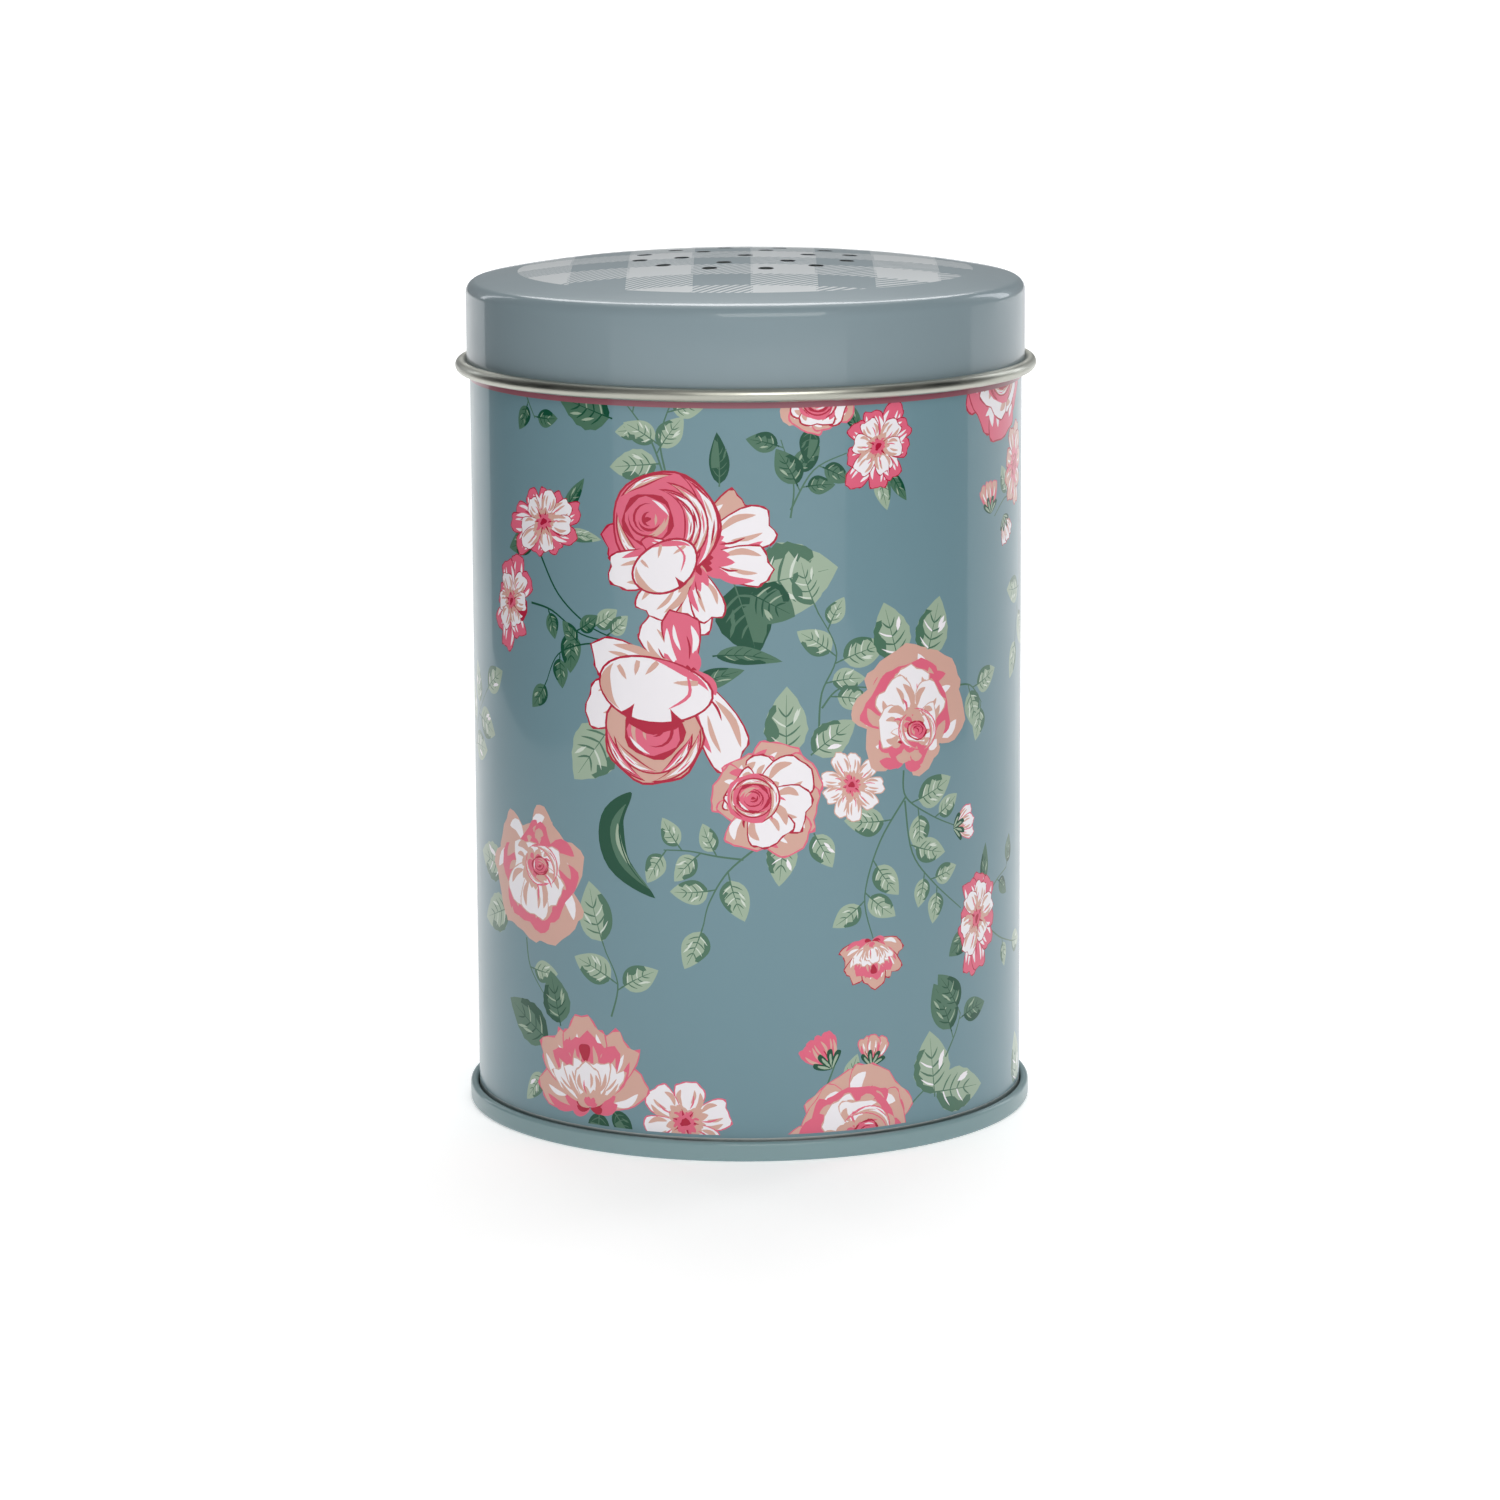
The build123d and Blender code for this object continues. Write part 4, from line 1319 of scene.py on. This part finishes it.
def lip_group():
    """Small lips instanced round every sprinkling hole, tilted to stand square on the dome."""
    group, inputs = new_group("Hole lips", [
        ("Crown radius", "NodeSocketFloat"), ("Crown centre", "NodeSocketFloat"),
        ("Phase", "NodeSocketFloat"),
        ("Hole radius", "NodeSocketFloat"), ("Lip radius", "NodeSocketFloat"),
        ("Material", "NodeSocketMaterial")])
    rows = add(group, "GeometryNodeJoinGeometry")
    for reach, count in HOLE_RINGS:
        if count == 1:
            spots = add(group, "GeometryNodePoints", {"Count": 1}).outputs[0]
        else:
            spots = add(group, "GeometryNodeMeshCircle",
                {"Vertices": count, "Radius": reach * MM}).outputs[0]
            spots = add(group, "GeometryNodeMeshToPoints", {"Mesh": spots}).outputs[0]
        group.links.new(spots, rows.inputs[0])
    turned = add(group, "GeometryNodeTransform", {
        "Geometry": rows.outputs[0],
        "Rotation": add(group, "ShaderNodeCombineXYZ", {"Z": inputs["Phase"]}).outputs[0]})
    place = add(group, "GeometryNodeInputPosition").outputs[0]
    flat = add(group, "ShaderNodeVectorMath", {0: place}, operation="LENGTH").outputs["Value"]
    rise = maths(group, "SQRT", maths(group, "SUBTRACT", maths(
        group, "MULTIPLY", inputs["Crown radius"], inputs["Crown radius"]),
        maths(group, "MULTIPLY", flat, flat)))
    lift = add(group, "ShaderNodeCombineXYZ", {"Z": maths(group, "ADD", rise, inputs["Crown centre"])})
    raised = add(group, "GeometryNodeSetPosition", {"Geometry": turned.outputs[0],
        "Offset": lift.outputs[0]})
    down = add(group, "ShaderNodeCombineXYZ", {"Z": inputs["Crown centre"]})
    out = add(group, "ShaderNodeVectorMath", {0: place, 1: down.outputs[0]}, operation="SUBTRACT")
    square = add(group, "FunctionNodeAlignRotationToVector", {"Vector": out.outputs[0]}, axis="Z")
    ring = add(group, "GeometryNodeCurvePrimitiveCircle",
        {"Resolution": 28, "Radius": inputs["Hole radius"]})
    wire = add(group, "GeometryNodeCurvePrimitiveCircle", {"Resolution": 8, "Radius": inputs["Lip radius"]})
    lip = add(group, "GeometryNodeCurveToMesh", {"Curve": ring.outputs[0], "Profile Curve": wire.outputs[0]})
    copies = add(group, "GeometryNodeInstanceOnPoints", {
        "Points": raised.outputs[0], "Instance": lip.outputs[0], "Rotation": square.outputs[0]})
    finish_group(group, copies.outputs[0])
    return group


# ------------------------------------------------------------------ stage

def aim(thing, target):
    """Turns a camera or light to look at a point."""
    thing.rotation_euler = (Vector(target) - thing.location).to_track_quat("-Z", "Y").to_euler()


def area_light(name, place, target, size, power, colour):
    """A soft rectangular light."""
    data = bpy.data.lights.new(name, "AREA")
    data.shape = "RECTANGLE"
    data.size, data.size_y = size
    data.energy = power
    data.color = linear(colour)[:3]
    light = bpy.data.objects.new(name, data)
    bpy.context.scene.collection.objects.link(light)
    light.location = place
    aim(light, target)
    return light


def make_stage(settings):
    """A white floor lit from within, window-soft light from the front and behind, and the camera."""
    scene = bpy.context.scene
    mesh = bpy.data.meshes.new("floor")
    mesh.from_pydata([(-3.5, -2.5, 0), (3.5, -2.5, 0), (3.5, 4.5, 0), (-3.5, 4.5, 0)], [], [(0, 1, 2, 3)])
    floor = bpy.data.objects.new("floor", mesh)
    scene.collection.objects.link(floor)
    paper, output = new_material("lit white acrylic floor")
    shader = add(paper.node_tree, "ShaderNodeBsdfPrincipled", {
        "Base Color": linear(settings.floor), "Roughness": 0.9, "Specular IOR Level": 0.0,
        "Emission Color": linear("FFFFFF"), "Emission Strength": 0.38})
    paper.node_tree.links.new(shader.outputs[0], output.inputs["Surface"])
    mesh.materials.append(paper)

    # Dark cards stand just out of view and shade the sides of the tin
    for name, x, low, high in (("left card", -0.3, -0.22, 0.25), ("right card", 0.3, -0.36, 0.05)):
        mesh = bpy.data.meshes.new(name)
        mesh.from_pydata([(x, low, 0.001), (x, high, 0.001), (x, high, 0.42), (x, low, 0.42)], [],
            [(0, 1, 2, 3)])
        card = bpy.data.objects.new(name, mesh)
        scene.collection.objects.link(card)
        felt, output = new_material("black felt")
        shader = add(felt.node_tree, "ShaderNodeBsdfDiffuse", {"Color": linear("26282A")})
        felt.node_tree.links.new(shader.outputs[0], output.inputs["Surface"])
        mesh.materials.append(felt)
        card.visible_camera = False

    lights = [
        area_light("front window", (0.3, -1.5, 1.0), (0, 0, 0.06), (1.3, 0.9), 17.0, "FFFDFA"),
        area_light("back left", (-1.3, 1.2, 0.7), (0, 0, 0.06), (0.4, 1.0), 5.0, "F8FBFF"),
        area_light("back right", (1.3, 1.2, 0.7), (0, 0, 0.06), (0.4, 1.0), 5.0, "F8FBFF"),
        area_light("far floor", (0.0, 3.2, 2.7), (0, 2.6, 0), (3.0, 1.6), 75.0, "FFFFFF"),
        area_light("overhead", (0.0, 0.6, 1.7), (0, 0.3, 0), (1.6, 1.0), 6.0, "FFFFFF")]
    world = bpy.data.worlds.new("soft room")
    world.use_nodes = True
    world.node_tree.nodes["Background"].inputs["Color"].default_value = linear("F4F6F8")
    world.node_tree.nodes["Background"].inputs["Strength"].default_value = 0.28
    scene.world = world

    camera_data = bpy.data.cameras.new("camera")
    camera_data.lens = settings.lens
    camera_data.sensor_width = 36.0
    camera_data.clip_start = 0.05
    camera = bpy.data.objects.new("camera", camera_data)
    scene.collection.objects.link(camera)
    camera.rotation_mode = "QUATERNION"
    camera.location = (settings.camera_side, -settings.camera_distance, settings.camera_height)
    direction = Vector((0, cos(settings.camera_pitch), -sin(settings.camera_pitch)))
    facing = direction.to_track_quat("-Z", "Y")
    camera.rotation_quaternion = facing @ Quaternion((0, 0, 1), settings.camera_roll)
    scene.camera = camera
    scene.view_settings.view_transform = "Standard"


# ------------------------------------------------------------------ operators

class TIN_OT_make_can(bpy.types.Operator):
    """Makes the printed can."""

    bl_idname = "tin.make_can"
    bl_label = "Make can"

    def execute(self, context):
        can = make_can(context.scene.tin_sheet, context.scene.tin_colours)
        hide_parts("can_body")
        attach(can, "can")
        return {"FINISHED"}


class TIN_OT_make_base(bpy.types.Operator):
    """Makes the seamed base and finishes the sealing compound."""

    bl_idname = "tin.make_base"
    bl_label = "Make base"

    def execute(self, context):
        base = make_base(context.scene.tin_sheet, context.scene.tin_colours)
        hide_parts("base_end")
        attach(base, "can")
        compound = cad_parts["seam_compound"]
        compound.data.materials.clear()
        compound.data.materials.append(sealing_rubber("seam compound", "2B2A28"))
        return {"FINISHED"}


class TIN_OT_make_lid(bpy.types.Operator):
    """Makes the domed lid, its rolled edge and the lips of its holes."""

    bl_idname = "tin.make_lid"
    bl_label = "Make lid"

    def execute(self, context):
        sheet = context.scene.tin_sheet
        lid = make_lid(sheet, context.scene.tin_colours)
        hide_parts("shaker_lid")
        cut_edge = bare_tin("bare tin of the rolled edge", "B4B5AB", 0.36)
        curl = grow("lid_curl", curl_group(), {
            "Skirt radius": SKIRT * MM, "Skirt end": SKIRT_END * MM, "Curl radius": CURL_RADIUS * MM,
            "Curl turn": radians(CURL_TURN), "Sheet": sheet.thickness, "Columns": sheet.columns,
            "Material": cut_edge})
        # The lips' tin is darkened to 7A8082 as painted shade round the holes
        lips = grow("hole_lips", lip_group(), {
            "Crown radius": (CROWN_RADIUS + 0.11) * MM, "Crown centre": CROWN_Z * MM, "Phase": HOLE_PHASE,
            "Hole radius": (HOLE_RADIUS + 0.02) * MM, "Lip radius": 0.05 * MM,
            "Material": bare_tin("tin of the hole lips, darkened as painted shade", "7A8082", 0.5)})
        for piece in (lid, curl, lips):
            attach(piece, "lid")
        return {"FINISHED"}


class TIN_OT_make_stage(bpy.types.Operator):
    """Makes the floor, the lights and the camera."""

    bl_idname = "tin.make_stage"
    bl_label = "Make stage"

    def execute(self, context):
        make_stage(context.scene.tin_stage)
        return {"FINISHED"}


class TIN_PT_panel(bpy.types.Panel):
    """Settings and operators of the tin."""

    bl_label = "Tin"
    bl_idname = "TIN_PT_panel"
    bl_space_type = "VIEW_3D"
    bl_region_type = "UI"
    bl_category = "Tin"

    def draw(self, context):
        for settings in (context.scene.tin_sheet, context.scene.tin_colours, context.scene.tin_stage):
            box = self.layout.box()
            for name in settings.bl_rna.properties.keys():
                if name not in ("rna_type", "name"):
                    box.prop(settings, name)
        for operator in (TIN_OT_make_can, TIN_OT_make_base, TIN_OT_make_lid, TIN_OT_make_stage):
            self.layout.operator(operator.bl_idname)


CLASSES = (TinSheetSettings, TinColourSettings, TinStageSettings, TIN_OT_make_can, TIN_OT_make_base,
           TIN_OT_make_lid, TIN_OT_make_stage, TIN_PT_panel)


def register():
    """Adds the settings, operators and panel."""
    for item in CLASSES:
        bpy.utils.register_class(item)
    bpy.types.Scene.tin_sheet = bpy.props.PointerProperty(type=TinSheetSettings)
    bpy.types.Scene.tin_colours = bpy.props.PointerProperty(type=TinColourSettings)
    bpy.types.Scene.tin_stage = bpy.props.PointerProperty(type=TinStageSettings)


def unregister():
    """Takes them away again."""
    for name in ("tin_stage", "tin_colours", "tin_sheet"):
        delattr(bpy.types.Scene, name)
    for item in reversed(CLASSES):
        bpy.utils.unregister_class(item)


def main():
    """Makes the tin and its stage."""
    register()
    bpy.ops.tin.make_can()
    bpy.ops.tin.make_base()
    bpy.ops.tin.make_lid()
    bpy.ops.tin.make_stage()


if __name__ == "__main__":
    main()
